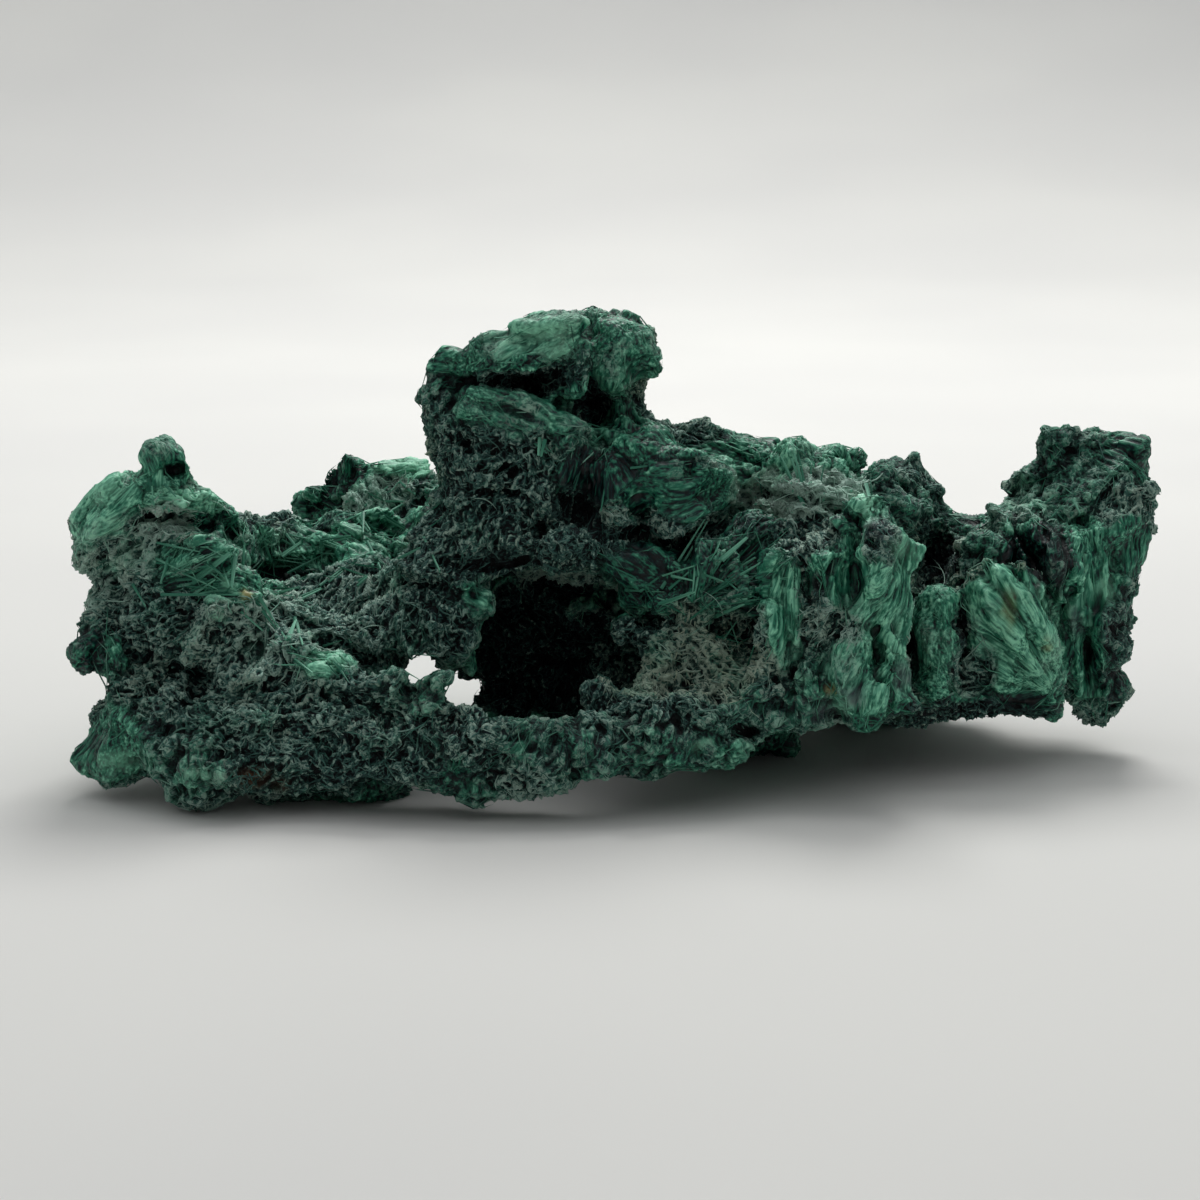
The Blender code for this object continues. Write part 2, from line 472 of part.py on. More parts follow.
def islands(mesh_data):
    """The faces of each loose part, largest first."""
    left = set(mesh_data.faces)
    groups = []
    while left:
        group = {left.pop()}
        edge_of_search = list(group)
        while edge_of_search:
            face = edge_of_search.pop()
            for edge in face.edges:
                for other in edge.link_faces:
                    if other in left:
                        left.remove(other)
                        group.add(other)
                        edge_of_search.append(other)
        groups.append(group)
    return sorted(groups, key=len, reverse=True)


def keep_main_body(piece):
    """Drops crumbs that hang on nothing."""
    body = bmesh.new()
    body.from_mesh(piece.data)
    for group in islands(body)[1:]:
        bmesh.ops.delete(body, geom=list(group), context="FACES")
    body.to_mesh(piece.data)
    body.free()


def cut_flat(piece, height):
    """Cuts the skin off level at the given height and closes the cuts."""
    body = bmesh.new()
    body.from_mesh(piece.data)
    everything = body.verts[:] + body.edges[:] + body.faces[:]
    cut = bmesh.ops.bisect_plane(
        body, geom=everything, dist=0.0000001, plane_co=(0, 0, height), plane_no=(0, 0, -1), clear_outer=True
    )
    rim = [item for item in cut["geom_cut"] if isinstance(item, bmesh.types.BMEdge)]
    for edge in rim:
        for vertex in edge.verts:
            vertex.co.z = height
    bmesh.ops.holes_fill(body, edges=rim, sides=0)
    bmesh.ops.triangulate(body, faces=[face for face in body.faces if len(face.verts) > 3])
    body.to_mesh(piece.data)
    body.free()


def fit_to_size(piece):
    """Brings the stone to its measured size, with its box's bottom centre at the origin."""
    points = [vertex.co for vertex in piece.data.vertices]
    low = Vector([min(point[axis] for point in points) for axis in range(3)])
    high = Vector([max(point[axis] for point in points) for axis in range(3)])
    base = Vector(((low.x + high.x) / 2, (low.y + high.y) / 2, low.z))
    size = Vector((LENGTH, DEPTH, HEIGHT)) * MM
    stretch = Vector([size[axis] / (high[axis] - low[axis]) for axis in range(3)])
    fit = Matrix.Diagonal(stretch).to_4x4() @ Matrix.Translation(-base)
    piece.data.transform(fit)
    return fit


def stone_material():
    """Dark, dull green: fibrous malachite under a weathered crust."""
    material = bpy.data.materials.new(STONE)
    material.use_nodes = True
    shader = material.node_tree.nodes["Principled BSDF"]
    shader.inputs["Base Color"].default_value = (0.018, 0.115, 0.075, 1)
    shader.inputs["Roughness"].default_value = 0.72
    shader.inputs["Metallic"].default_value = 0.0
    return material


def main():
    for item in list(bpy.data.objects):
        bpy.data.objects.remove(item)
    parts = bpy.data.collections.new("malachite_specimen")
    cutters = bpy.data.collections.new("cutters")
    bpy.context.scene.collection.children.link(parts)
    bpy.context.scene.collection.children.link(cutters)

    forms = bmesh.new()
    for grow in (
        left_mass, saddle, back_ridge, tower, central_face, sill, curtain,
        upper_mound, right_fan, column, hidden_back, feet,
    ):
        grow(forms)
    stone = new_object(STONE, forms, parts)
    space = new_object("hollow_spaces", hollows(), cutters)
    space.hide_render = True
    space.display_type = "WIRE"

    fuse(space, SKIN_CELL)
    fuse(stone, SKIN_CELL)
    settle(space)
    settle(stone)
    carve(stone, space)
    settle(stone)
    fuse(stone, SKIN_CELL)
    roughen(stone, "Swelling", "CLOUDS", SWELL_WIDTH, SWELL_HEIGHT)
    roughen(stone, "Knobs", "VORONOI", KNOB_WIDTH, -KNOB_HEIGHT)
    settle(stone)
    fuse(stone, SKIN_CELL)
    settle(stone)
    keep_main_body(stone)

    thin = stone.modifiers.new("Facets", "DECIMATE")
    triangles = sum(len(polygon.vertices) - 2 for polygon in stone.data.polygons)
    thin.ratio = FACETS / triangles
    settle(stone)
    cut_flat(stone, PAD_CUT * MM)
    keep_main_body(stone)
    stone.data.materials.clear()
    stone.data.materials.append(stone_material())
    return fit_to_size(stone)


main()
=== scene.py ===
import math
import random

import bmesh
import bpy
import numpy as np
from mathutils import Matrix, Vector, noise
from mathutils.bvhtree import BVHTree


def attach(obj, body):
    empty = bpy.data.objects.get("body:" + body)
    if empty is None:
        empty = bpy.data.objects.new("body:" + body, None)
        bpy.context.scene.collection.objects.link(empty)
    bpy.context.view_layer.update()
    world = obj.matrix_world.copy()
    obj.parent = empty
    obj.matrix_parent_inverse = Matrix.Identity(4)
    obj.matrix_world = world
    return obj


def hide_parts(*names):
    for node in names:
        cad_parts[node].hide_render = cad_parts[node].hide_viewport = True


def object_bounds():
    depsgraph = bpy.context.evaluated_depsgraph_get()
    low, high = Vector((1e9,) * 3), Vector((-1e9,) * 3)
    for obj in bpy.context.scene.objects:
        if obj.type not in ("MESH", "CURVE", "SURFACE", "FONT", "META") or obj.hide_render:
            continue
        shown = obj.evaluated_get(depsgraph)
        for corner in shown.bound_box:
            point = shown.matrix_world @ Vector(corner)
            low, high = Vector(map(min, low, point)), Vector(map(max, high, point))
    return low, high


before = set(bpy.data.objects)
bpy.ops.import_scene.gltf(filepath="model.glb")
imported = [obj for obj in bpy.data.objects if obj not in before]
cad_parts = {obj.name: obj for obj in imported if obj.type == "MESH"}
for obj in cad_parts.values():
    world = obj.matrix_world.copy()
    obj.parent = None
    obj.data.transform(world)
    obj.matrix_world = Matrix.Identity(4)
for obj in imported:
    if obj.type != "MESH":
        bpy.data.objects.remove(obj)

# a hand specimen of fibrous malachite on a pale floor
# lengths are in millimetres until a mesh is written, +X right, +Y away, +Z up
# places read off the photograph are pixels of its 1200 x 1200 frame, laid on the stone along sight lines
mm = 0.001
cadBox = [list(corner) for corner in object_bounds()]

photo = {
    "frame": 1200,
    "target": (-2.10, 1.16, 13.53),
    "distance": 220.0,
    "elevation": 12.0,
    "lens": 77.94,
    "sensor": 36.0,
}

seeds = {"sheaves": 5, "farSides": 31, "strands": 12, "needles": 9}


# places on the stone: the photograph's camera, and the way from a pixel to the stone and back

tilt = math.radians(photo["elevation"])
eyeRight = np.array((1.0, 0.0, 0.0))
eyeAhead = np.array((0.0, math.cos(tilt), -math.sin(tilt)))
eyeUp = np.array((0.0, math.sin(tilt), math.cos(tilt)))
eye = np.array(photo["target"]) - photo["distance"] * eyeAhead
pixelsPerSlope = photo["lens"] / photo["sensor"] * photo["frame"]
halfFrame = photo["frame"] / 2
pixelsPerMm = 11.0  # near the stone's front


def pixelRay(x, y):
    ray = eyeAhead + eyeRight * (x - halfFrame) / pixelsPerSlope + eyeUp * (halfFrame - y) / pixelsPerSlope
    return ray / np.linalg.norm(ray)


def seenAt(points):  # pixel x, pixel y and depth in mm of each point
    offset = points - eye
    depth = offset @ eyeAhead
    x = halfFrame + pixelsPerSlope * (offset @ eyeRight) / depth
    y = halfFrame - pixelsPerSlope * (offset @ eyeUp) / depth
    return x, y, depth


weld = 0.00001
baseForm = bmesh.new()
baseForm.from_mesh(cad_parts["malachite"].data)
bmesh.ops.remove_doubles(baseForm, verts=baseForm.verts, dist=weld)  # a node's own mesh is loose triangles
bmesh.ops.scale(baseForm, vec=(1 / mm, 1 / mm, 1 / mm), verts=baseForm.verts)
stoneTree = BVHTree.FromBMesh(baseForm)


def onStone(x, y, deeper=0.0):  # the point of the stone under a pixel, moved along the ray
    ray = pixelRay(x, y)
    hit = stoneTree.ray_cast(Vector(eye), Vector(ray))
    if hit[0] is None:
        hit = stoneTree.find_nearest(Vector(eye + ray * photo["distance"]))
    return np.array(hit[0]) + ray * deeper


def depthAt(pixel):  # how far the stone lies from the camera under a pixel
    return (onStone(*pixel) - eye) @ eyeAhead


def placeAt(pixel, depth):
    ray = pixelRay(*pixel)
    return eye + ray * depth / (ray @ eyeAhead)


def rows(shape, table):  # one dictionary per row of a table; a name that ends in 2 takes a pair of values
    made = []
    for row in table:
        values = iter(row)
        made.append({
            name.rstrip("2"): (next(values), next(values)) if name.endswith("2") else next(values)
            for name in shape.split()
        })
    return made


# numbers on a mesh


def perlin(points, size, shift=0.0):  # soft noise, waves of size mm, about -1 to 1
    places = (points / size + shift).tolist()
    return 1.6 * np.fromiter((noise.noise(place) for place in places), float, len(places))


def perlinVector(points, size, shift=0.0):
    return np.stack([perlin(points, size, shift + 17.3 * axis) for axis in range(3)], axis=1)


def ridged(values, sharpness):  # turns zero crossings into ridges from 0 to 1
    return np.clip(1.0 - np.abs(values) * sharpness, 0.0, 1.0)


def smoothStep(values, low, high):
    share = np.clip((values - low) / (high - low), 0.0, 1.0)
    return share * share * (3.0 - 2.0 * share)


def anyWay(chance):
    return np.array([chance.uniform(-1, 1) for _ in range(3)])


def readField(items, field, width, kind=np.float32):
    values = np.empty(len(items) * width, kind)
    items.foreach_get(field, values)
    return values.reshape(-1, width)


def meshArrays(mesh):
    return readField(mesh.vertices, "co", 3).astype(float), readField(mesh.edges, "vertices", 2, np.int32)


def meshNormals(mesh):
    return readField(mesh.vertices, "normal", 3).astype(float)


def setPlaces(mesh, places):
    mesh.vertices.foreach_set("co", places.astype(np.float32).ravel())
    mesh.update()


def spread(values, ends, rounds):  # averages values with their neighbours along the edges
    count = len(values)
    links = np.bincount(ends.ravel(), minlength=count).astype(float)
    links[links == 0] = 1.0
    flat = values.reshape(count, -1).astype(float)
    for _ in range(rounds):
        total = np.stack([
            np.bincount(ends[:, 0], flat[ends[:, 1], column], count)
            + np.bincount(ends[:, 1], flat[ends[:, 0], column], count)
            for column in range(flat.shape[1])
        ], axis=1)
        flat = 0.5 * flat + 0.5 * total / links[:, None]
    return flat.reshape(values.shape)


def softNormals(mesh, ends, rounds):
    normals = spread(meshNormals(mesh), ends, rounds)
    return normals / (np.linalg.norm(normals, axis=1)[:, None] + 1e-9)


def newObject(name, data):
    item = bpy.data.objects.new(name, data)
    bpy.context.scene.collection.objects.link(item)
    return item


def evaluated(item):  # the item's mesh with its modifiers or bevel applied
    ready = item.evaluated_get(bpy.context.evaluated_depsgraph_get())
    mesh = bpy.data.meshes.new_from_object(ready)
    bpy.data.objects.remove(item)
    return mesh


def remeshed(mesh, cell):  # one even skin over everything in the mesh, in mm
    item = newObject("skinning", mesh)
    remesh = item.modifiers.new("skin", "REMESH")
    remesh.mode = "VOXEL"
    remesh.voxel_size = cell
    remesh.adaptivity = 0.0
    return evaluated(item)


def writeMesh(form, mesh):  # a form in mm becomes a mesh in metres
    bmesh.ops.scale(form, vec=(mm, mm, mm), verts=form.verts)
    form.to_mesh(mesh)
    form.free()
    return mesh


def setAttribute(mesh, name, values, kind="FLOAT"):
    layer = mesh.attributes.new(name, kind, "POINT")
    field = "value" if kind == "FLOAT" else "vector"
    layer.data.foreach_set(field, values.astype(np.float32).ravel())


# forms grown on the solid: blades and teeth fused into the skin


def addBlade(target, root, tip, width, thick, face, taper=0.35, sides=6):
    # a flat prism from root to tip, its broad side turned to face
    root, tip, face = Vector(root), Vector(tip), Vector(face)
    along = (tip - root).normalized()
    across = along.cross(face).normalized()
    out = across.cross(along).normalized()
    turn = Matrix((across, out, along)).transposed().to_4x4()
    squeeze = Matrix.Diagonal((width / 2, thick / 2, (tip - root).length, 1.0))
    place = Matrix.Translation((root + tip) / 2) @ turn @ squeeze
    made = bmesh.ops.create_cone(
        target, cap_ends=True, segments=sides, radius1=1.0, radius2=taper, depth=1.0, matrix=place
    )
    return made["verts"]


# fans of blades: where they spring from, the two ends of the arc their tips draw, how many blades, their
# width and lift in mm; the tone and the number of the needles loose on them; how blunt the blades are
sheaves = rows("root2 first2 last2 blades width lift tone loose taper2", [
    (693, 606, 716, 530, 776, 600, 15, 0.6, 1.8, 0.4, 44, 0.5, 0.9),
    (690, 604, 612, 566, 640, 612, 6, 0.7, 0.5, 0.1, 4, 0.5, 0.9),
    (590, 440, 572, 488, 592, 494, 2, 2.4, 1.7, 0.1, 2, 0.05, 0.2),
    (612, 444, 600, 506, 632, 494, 3, 2.4, 1.4, 0.2, 3, 0.05, 0.2),
    (748, 476, 628, 468, 650, 512, 8, 1.2, 0.9, 0.5, 16, 0.5, 0.9),
    (163, 580, 176, 548, 206, 562, 6, 0.6, 1.2, 0.5, 12, 0.5, 0.9),
    (1066, 702, 962, 582, 1042, 600, 12, 1.5, 1.2, 0.5, 24, 0.5, 0.9),
    (1050, 500, 1012, 590, 1064, 588, 6, 1.1, 0.8, 0.5, 12, 0.5, 0.9),
    (812, 522, 762, 452, 852, 448, 10, 1.1, 0.6, 0.5, 20, 0.5, 0.9),
    (357, 684, 316, 656, 340, 648, 4, 0.9, 0.9, 0.5, 8, 0.5, 0.9),
    (238, 512, 196, 536, 236, 545, 6, 0.9, 0.5, 0.5, 12, 0.5, 0.9),
    (618, 398, 602, 440, 634, 440, 5, 0.6, 0.4, 0.4, 10, 0.5, 0.9),
])

bladeForm = {
    "arc": 0.64,
    "length": (0.72, 1.05),  # shares of what the table says
    "lift": (0.4, 1.0),
    "width": (0.7, 1.3),
    "thick": 0.55,  # mm
    "buried": 0.4,
    "farthest": 6.0,  # beyond this a ray went past the stone's edge
}


def sheafTip(sheaf, share, length):
    # the pixel of a tip on the arc, at a share of the way from the root
    root, first, last = (np.array(sheaf[end], float) for end in ("root", "first", "last"))
    bow = bladeForm["arc"] * share * (1 - share)
    tip = first * (1 - share) + last * share + (0.5 * (first + last) - root) * bow
    return root + (tip - root) * length


def growSheaves(target):
    chance = random.Random(seeds["sheaves"])
    for sheaf in sheaves:
        root = onStone(*sheaf["root"], deeper=bladeForm["buried"])
        for index in range(sheaf["blades"]):
            tip = sheafTip(sheaf, index / (sheaf["blades"] - 1), chance.uniform(*bladeForm["length"]))
            end = onStone(*tip, deeper=-sheaf["lift"] * chance.uniform(*bladeForm["lift"]))
            if abs((end - root) @ eyeAhead) > bladeForm["farthest"]:
                continue
            width = sheaf["width"] * chance.uniform(*bladeForm["width"])
            face = -eyeAhead + 0.5 * np.array((chance.uniform(-1, 1), 0, chance.uniform(-1, 1)))
            addBlade(target, root, end, width, bladeForm["thick"], face, chance.uniform(*sheaf["taper"]))


# broad folds of the curtain: the pixels they run between, the pixels whose depths they take, and how much
# further in they lie, their width and their thickness in mm
drapes = rows("start2 end2 likeStart2 likeEnd2 deeper width thick", [
    (912, 540, 880, 604, 886, 600, 886, 605, 0.9, 3.0, 1.6),
    (900, 572, 848, 668, 886, 605, 862, 672, 0.7, 3.2, 1.6),
    (852, 640, 848, 712, 862, 672, 862, 680, 0.7, 2.4, 1.4),
    (906, 590, 896, 664, 886, 605, 880, 672, 1.0, 2.0, 1.4),
    (898, 650, 902, 712, 880, 672, 880, 676, 1.0, 2.0, 1.4),
    (872, 508, 884, 600, 868, 512, 886, 600, 0.9, 3.4, 1.4),
    (846, 524, 840, 596, 868, 520, 845, 590, 1.2, 3.6, 1.2),
    (826, 534, 824, 594, 845, 560, 845, 590, 1.4, 2.2, 1.0),
    (974, 566, 1040, 664, 1000, 610, 1030, 650, 0.5, 3.4, 1.2),
])


def hangDrapes(target):
    for drape in drapes:
        start = placeAt(drape["start"], depthAt(drape["likeStart"]) + drape["deeper"])
        end = placeAt(drape["end"], depthAt(drape["likeEnd"]) + drape["deeper"])
        addBlade(target, start, end, drape["width"], drape["thick"], -eyeAhead, taper=1.0, sides=10)


# balls: pixel, the pixel whose depth they take, mm further in, radius in mm
growths = rows("at2 like2 deeper radius", [
    (1051, 443, 1062, 452, 0.6, 1.3), (1066, 440, 1066, 452, 0.6, 1.1), (1020, 474, 1040, 480, 0.5, 0.8),
    (1140, 448, 1120, 450, 0.3, 1.1), (1146, 492, 1130, 492, 0.3, 0.9), (433, 394, 444, 396, 0.4, 1.0),
    (436, 416, 448, 415, 0.6, 0.9), (436, 368, 448, 370, 0.6, 1.0), (201, 494, 204, 502, 0.6, 0.9),
    (215, 504, 218, 512, 0.6, 0.9), (230, 516, 232, 524, 0.6, 0.9), (345, 462, 352, 478, 0.3, 0.9),
    (312, 494, 330, 492, 0.2, 0.8), (84, 652, 110, 652, 0.3, 1.2), (92, 662, 110, 656, 0.2, 1.0),
    (378, 666, 360, 660, 1.0, 1.3), (436, 646, 440, 636, 0.8, 1.2), (410, 650, 410, 640, 0.8, 1.1),
    (396, 660, 384, 664, 0.8, 1.0), (486, 690, 500, 680, 0.0, 1.0), (452, 656, 460, 640, 0.8, 1.1),
    (474, 666, 478, 640, 0.8, 1.4), (446, 712, 470, 724, 2.0, 1.2), (470, 716, 480, 728, 2.0, 1.3),
    (488, 712, 500, 680, 0.0, 1.9), (516, 715, 520, 690, 0.0, 1.6), (542, 714, 540, 690, 0.0, 1.6),
    (568, 711, 560, 690, 0.0, 1.6), (594, 708, 585, 690, 0.0, 1.6), (470, 640, 458, 640, 0.8, 1.2),
    (482, 606, 478, 592, 0.5, 1.4), (505, 592, 505, 578, 0.4, 1.3), (548, 600, 548, 582, 0.5, 1.5),
    (580, 612, 590, 590, 0.5, 1.5), (604, 640, 622, 640, 0.6, 1.6), (608, 668, 626, 668, 0.6, 1.6),
    (600, 694, 626, 690, 0.8, 1.6), (626, 632, 640, 645, -0.6, 1.2),
])


def growBalls(target):
    for ball in growths:
        place = Matrix.Translation(Vector(placeAt(ball["at"], depthAt(ball["like"]) + ball["deeper"])))
        bmesh.ops.create_icosphere(target, subdivisions=2, radius=ball["radius"], matrix=place)


# hollows, folds and lumps that move the first skin

# pits and slits: pixel centre, half size in pixels, turn in degrees, depth in mm
hollows = rows("at2 half2 turn deep", [
    (687, 550, 9, 13, 0, 3.6), (635, 531, 21, 13, 0, 2.6), (640, 630, 20, 14, 10, 2.6),
    (596, 408, 17, 22, 0, 3.0), (528, 379, 44, 17, -8, 2.6), (172, 469, 11, 8, 0, 2.2),
    (225, 530, 24, 14, 25, 1.8), (273, 576, 26, 12, 0, 2.4), (188, 684, 38, 26, 0, 1.4),
    (815, 584, 8, 15, 0, 2.4), (877, 657, 5, 12, 10, 1.6), (914, 640, 8, 42, 4, 2.6),
    (940, 560, 26, 26, 0, 3.2), (964, 630, 7, 38, 4, 3.0), (936, 586, 22, 6, 0, 2.4),
    (206, 526, 26, 6, 14, 1.4), (582, 505, 24, 30, 0, 3.0), (500, 560, 40, 10, -6, 2.0),
    (545, 535, 16, 9, 20, 1.6), (430, 500, 24, 9, -20, 1.4), (480, 445, 34, 9, 14, 1.3),
    (1030, 566, 5, 22, -24, 2.6), (1010, 566, 5, 18, -30, 2.2), (722, 628, 12, 9, 0, 2.0),
    (658, 618, 10, 8, 0, 2.0), (690, 470, 6, 10, 0, 1.2), (150, 660, 26, 30, 20, 1.6),
    (345, 700, 30, 8, 14, 1.3), (250, 690, 30, 8, -16, 1.2), (1084, 521, 12, 7, 0, 2.0),
    (1089, 655, 6, 26, 0, 2.6), (1020, 548, 5, 16, -30, 1.8), (1044, 576, 6, 18, -20, 2.0),
    (1062, 590, 5, 16, -10, 2.0), (745, 731, 13, 11, 0, 2.0), (724, 588, 22, 5, -8, 1.6),
    (735, 520, 10, 24, 40, 1.4), (592, 470, 28, 20, 0, 1.6), (420, 583, 26, 6, 0, 1.6),
    (409, 690, 9, 9, 0, 1.4), (330, 480, 6, 18, 15, 1.6), (795, 690, 9, 22, 0, 1.4),
    (868, 545, 9, 7, 0, 1.0), (330, 560, 8, 14, 0, 1.2), (246, 655, 26, 12, -25, 1.0),
])

# ridges, and grooves with a negative height: half width in pixels, height in mm, the pixels along the line
folds = [
    (9, 1.5, 895, 505, 908, 545, 902, 600, 880, 660, 866, 715), (8, 0.4, 868, 500, 866, 560, 884, 600),
    (8, 1.0, 852, 620, 842, 670, 852, 716), (4, -1.6, 878, 630, 874, 670, 876, 730),
    (6, -0.9, 838, 712, 862, 724, 890, 722), (3, -0.5, 905, 560, 880, 610, 852, 660),
    (4, 0.8, 888, 556, 866, 600, 846, 640), (4, -0.6, 848, 600, 852, 560, 862, 524),
    (4, -0.7, 862, 530, 858, 596), (7, 1.0, 772, 560, 770, 620, 780, 668), (6, 0.9, 794, 560, 796, 640),
    (8, 1.0, 756, 478, 800, 488, 862, 512), (6, 0.8, 762, 506, 810, 512, 850, 530),
    (4, -0.8, 760, 492, 810, 500, 856, 521), (6, 0.9, 822, 560, 876, 553), (3, -0.9, 833, 560, 832, 596),
    (3, -0.9, 843, 560, 843, 594), (3, -0.9, 853, 560, 854, 592), (5, 1.0, 600, 503, 628, 524, 650, 534),
    (6, 0.8, 652, 520, 690, 520, 722, 500), (6, 1.0, 556, 446, 600, 438, 648, 450),
    (5, 1.1, 618, 604, 668, 598, 694, 594), (5, 0.8, 614, 618, 650, 612, 672, 604),
    (7, 1.0, 700, 545, 699, 590), (6, 1.0, 140, 500, 175, 494, 208, 510),
    (8, 1.0, 128, 476, 100, 500, 82, 520), (6, 0.8, 142, 486, 114, 512, 90, 540),
    (4, -0.9, 150, 512, 180, 512, 204, 528), (7, 0.9, 165, 535, 200, 545, 240, 560),
    (9, 1.1, 215, 610, 262, 600, 300, 622), (5, 0.9, 252, 560, 310, 552),
    (7, 0.9, 340, 530, 390, 548, 440, 545), (8, 1.5, 395, 703, 402, 676, 424, 668, 442, 680, 438, 704),
    (6, 0.9, 425, 707, 446, 735, 464, 758), (8, 1.1, 470, 392, 520, 402, 575, 430),
    (9, 1.3, 478, 352, 520, 332, 566, 326), (7, 1.2, 566, 326, 580, 350, 574, 392),
    (10, 1.0, 605, 330, 640, 340, 650, 366), (7, 0.8, 420, 520, 470, 500, 530, 500),
    (8, 0.8, 470, 560, 530, 545, 590, 556), (6, 0.6, 922, 596, 930, 640, 932, 690),
    (6, 0.6, 948, 600, 952, 640, 950, 690), (8, 1.2, 966, 548, 984, 542, 1002, 556),
    (5, 0.9, 1075, 530, 1072, 620, 1078, 690), (4, 1.0, 1100, 530, 1101, 620, 1100, 700),
    (6, 1.0, 1010, 530, 1030, 560, 1036, 590), (6, 1.0, 1034, 520, 1052, 560, 1058, 596),
    (5, 0.8, 880, 706, 960, 700, 1060, 712), (8, 0.6, 500, 706, 600, 716, 700, 700, 760, 668),
    (5, 0.8, 360, 466, 420, 474), (8, 0.6, 200, 768, 270, 786, 360, 790),
    (6, 1.5, 156, 502, 190, 505, 222, 516), (9, 1.8, 478, 478, 514, 474, 540, 488, 556, 524),
    (8, 1.5, 556, 548, 576, 540, 600, 552), (6, 1.3, 404, 566, 440, 574, 468, 586),
    (8, 1.2, 562, 614, 590, 606, 624, 626), (5, 1.1, 610, 524, 640, 530, 672, 524, 696, 508),
    (6, 1.6, 1003, 520, 1008, 545, 1018, 566), (6, 1.7, 1022, 516, 1032, 545, 1042, 574),
    (6, 1.6, 1042, 522, 1050, 555, 1055, 590), (5, 1.3, 1060, 530, 1066, 560, 1068, 592),
    (13, 1.4, 936, 600, 938, 640, 936, 684), (9, 1.0, 985, 560, 1020, 600, 1056, 650),
    (8, 0.9, 980, 584, 1008, 630, 1044, 680), (7, 1.2, 896, 512, 910, 560, 906, 600),
    (9, 1.1, 860, 640, 848, 690, 858, 722), (8, 1.0, 880, 660, 896, 700, 900, 716),
    (8, 1.2, 215, 612, 190, 660, 165, 710), (7, 0.9, 300, 622, 360, 640, 420, 656),
    (8, 0.8, 240, 720, 320, 716, 390, 740), (7, 0.8, 120, 720, 150, 740, 210, 748),
    (9, 0.8, 432, 380, 440, 410, 438, 432), (6, 0.7, 460, 410, 520, 424, 580, 440),
]

# knobs, and places trimmed back: pixel centre, half size in pixels, height in mm
lumps = rows("at2 half2 high", [
    (589, 411, 10, 8, 2.2), (198, 458, 10, 16, -1.3), (654, 314, 15, 11, -1.7), (660, 398, 12, 16, -1.5),
    (662, 352, 8, 14, -0.6), (300, 640, 16, 12, 0.9), (195, 767, 22, 14, 0.9), (117, 655, 9, 14, 0.8),
    (890, 540, 14, 10, 0.9), (915, 548, 10, 10, 0.8), (936, 622, 17, 30, 0.8), (880, 474, 12, 9, 1.0),
    (905, 480, 13, 10, 1.1), (930, 492, 13, 10, 1.0), (888, 500, 13, 10, 1.0), (912, 510, 12, 9, 0.9),
    (1114, 610, 11, 14, 0.9), (1113, 650, 12, 12, 0.9), (1115, 690, 12, 12, 0.9), (610, 380, 14, 10, 0.8),
    (630, 350, 16, 16, 0.8),
])

reachIn = {"hollow": 5.0, "lump": 5.0, "fold": 4.5, "spot": 4.0}  # mm in depth around the stone's front


def turnedOffset(x, y, centre, half, turn=0):  # offsets from a pixel, in half sizes of a turned ellipse
    angle = math.radians(turn)
    right = x - centre[0]
    down = y - centre[1]
    along = (right * math.cos(angle) + down * math.sin(angle)) / half[0]
    across = (down * math.cos(angle) - right * math.sin(angle)) / half[1]
    return along, across


def lineShare(x, y, start, end):  # distance in pixels from a stretch of line, and the share along it
    step = np.array(end, float) - np.array(start, float)
    share = np.clip(((x - start[0]) * step[0] + (y - start[1]) * step[1]) / (step @ step), 0.0, 1.0)
    away = np.hypot(x - start[0] - share * step[0], y - start[1] - share * step[1])
    return away, share


def nearness(seen, form, kind, sharp, turn=0):  # 1 at the middle of a form, down to 0 outside it
    x, y, depth = seen
    along, across = turnedOffset(x, y, form["at"], form["half"], turn)
    return np.exp(-((along**2 + across**2) ** sharp)) * (np.abs(depth - depthAt(form["at"])) < reachIn[kind])


def shapeByHand(mesh):
    places, ends = meshArrays(mesh)
    normals = meshNormals(mesh)
    seen = seenAt(places)
    x, y, depth = seen
    facing = np.clip(-(normals @ eyeAhead) * 1.5 + 0.4, 0.0, 1.0)
    shift = np.zeros_like(places)
    for hollow in hollows:
        near = nearness(seen, hollow, "hollow", 1.6, hollow["turn"])
        shift += np.outer(near * hollow["deep"] * facing, eyeAhead)
    for lump in lumps:
        shift += (nearness(seen, lump, "lump", 1.0) * lump["high"])[:, None] * normals
    for half, high, *line in folds:
        best = np.zeros(len(places))
        points = list(zip(line[::2], line[1::2]))
        for start, end in zip(points, points[1:]):
            away, share = lineShare(x, y, start, end)
            front = depthAt(start) * (1 - share) + depthAt(end) * share
            near = np.abs(depth - front) < reachIn["fold"]
            best = np.maximum(best, np.exp(-((away / half) ** 2)) * near)
        shift += (best * high * facing)[:, None] * normals
    setPlaces(mesh, places + spread(shift, ends, 1))


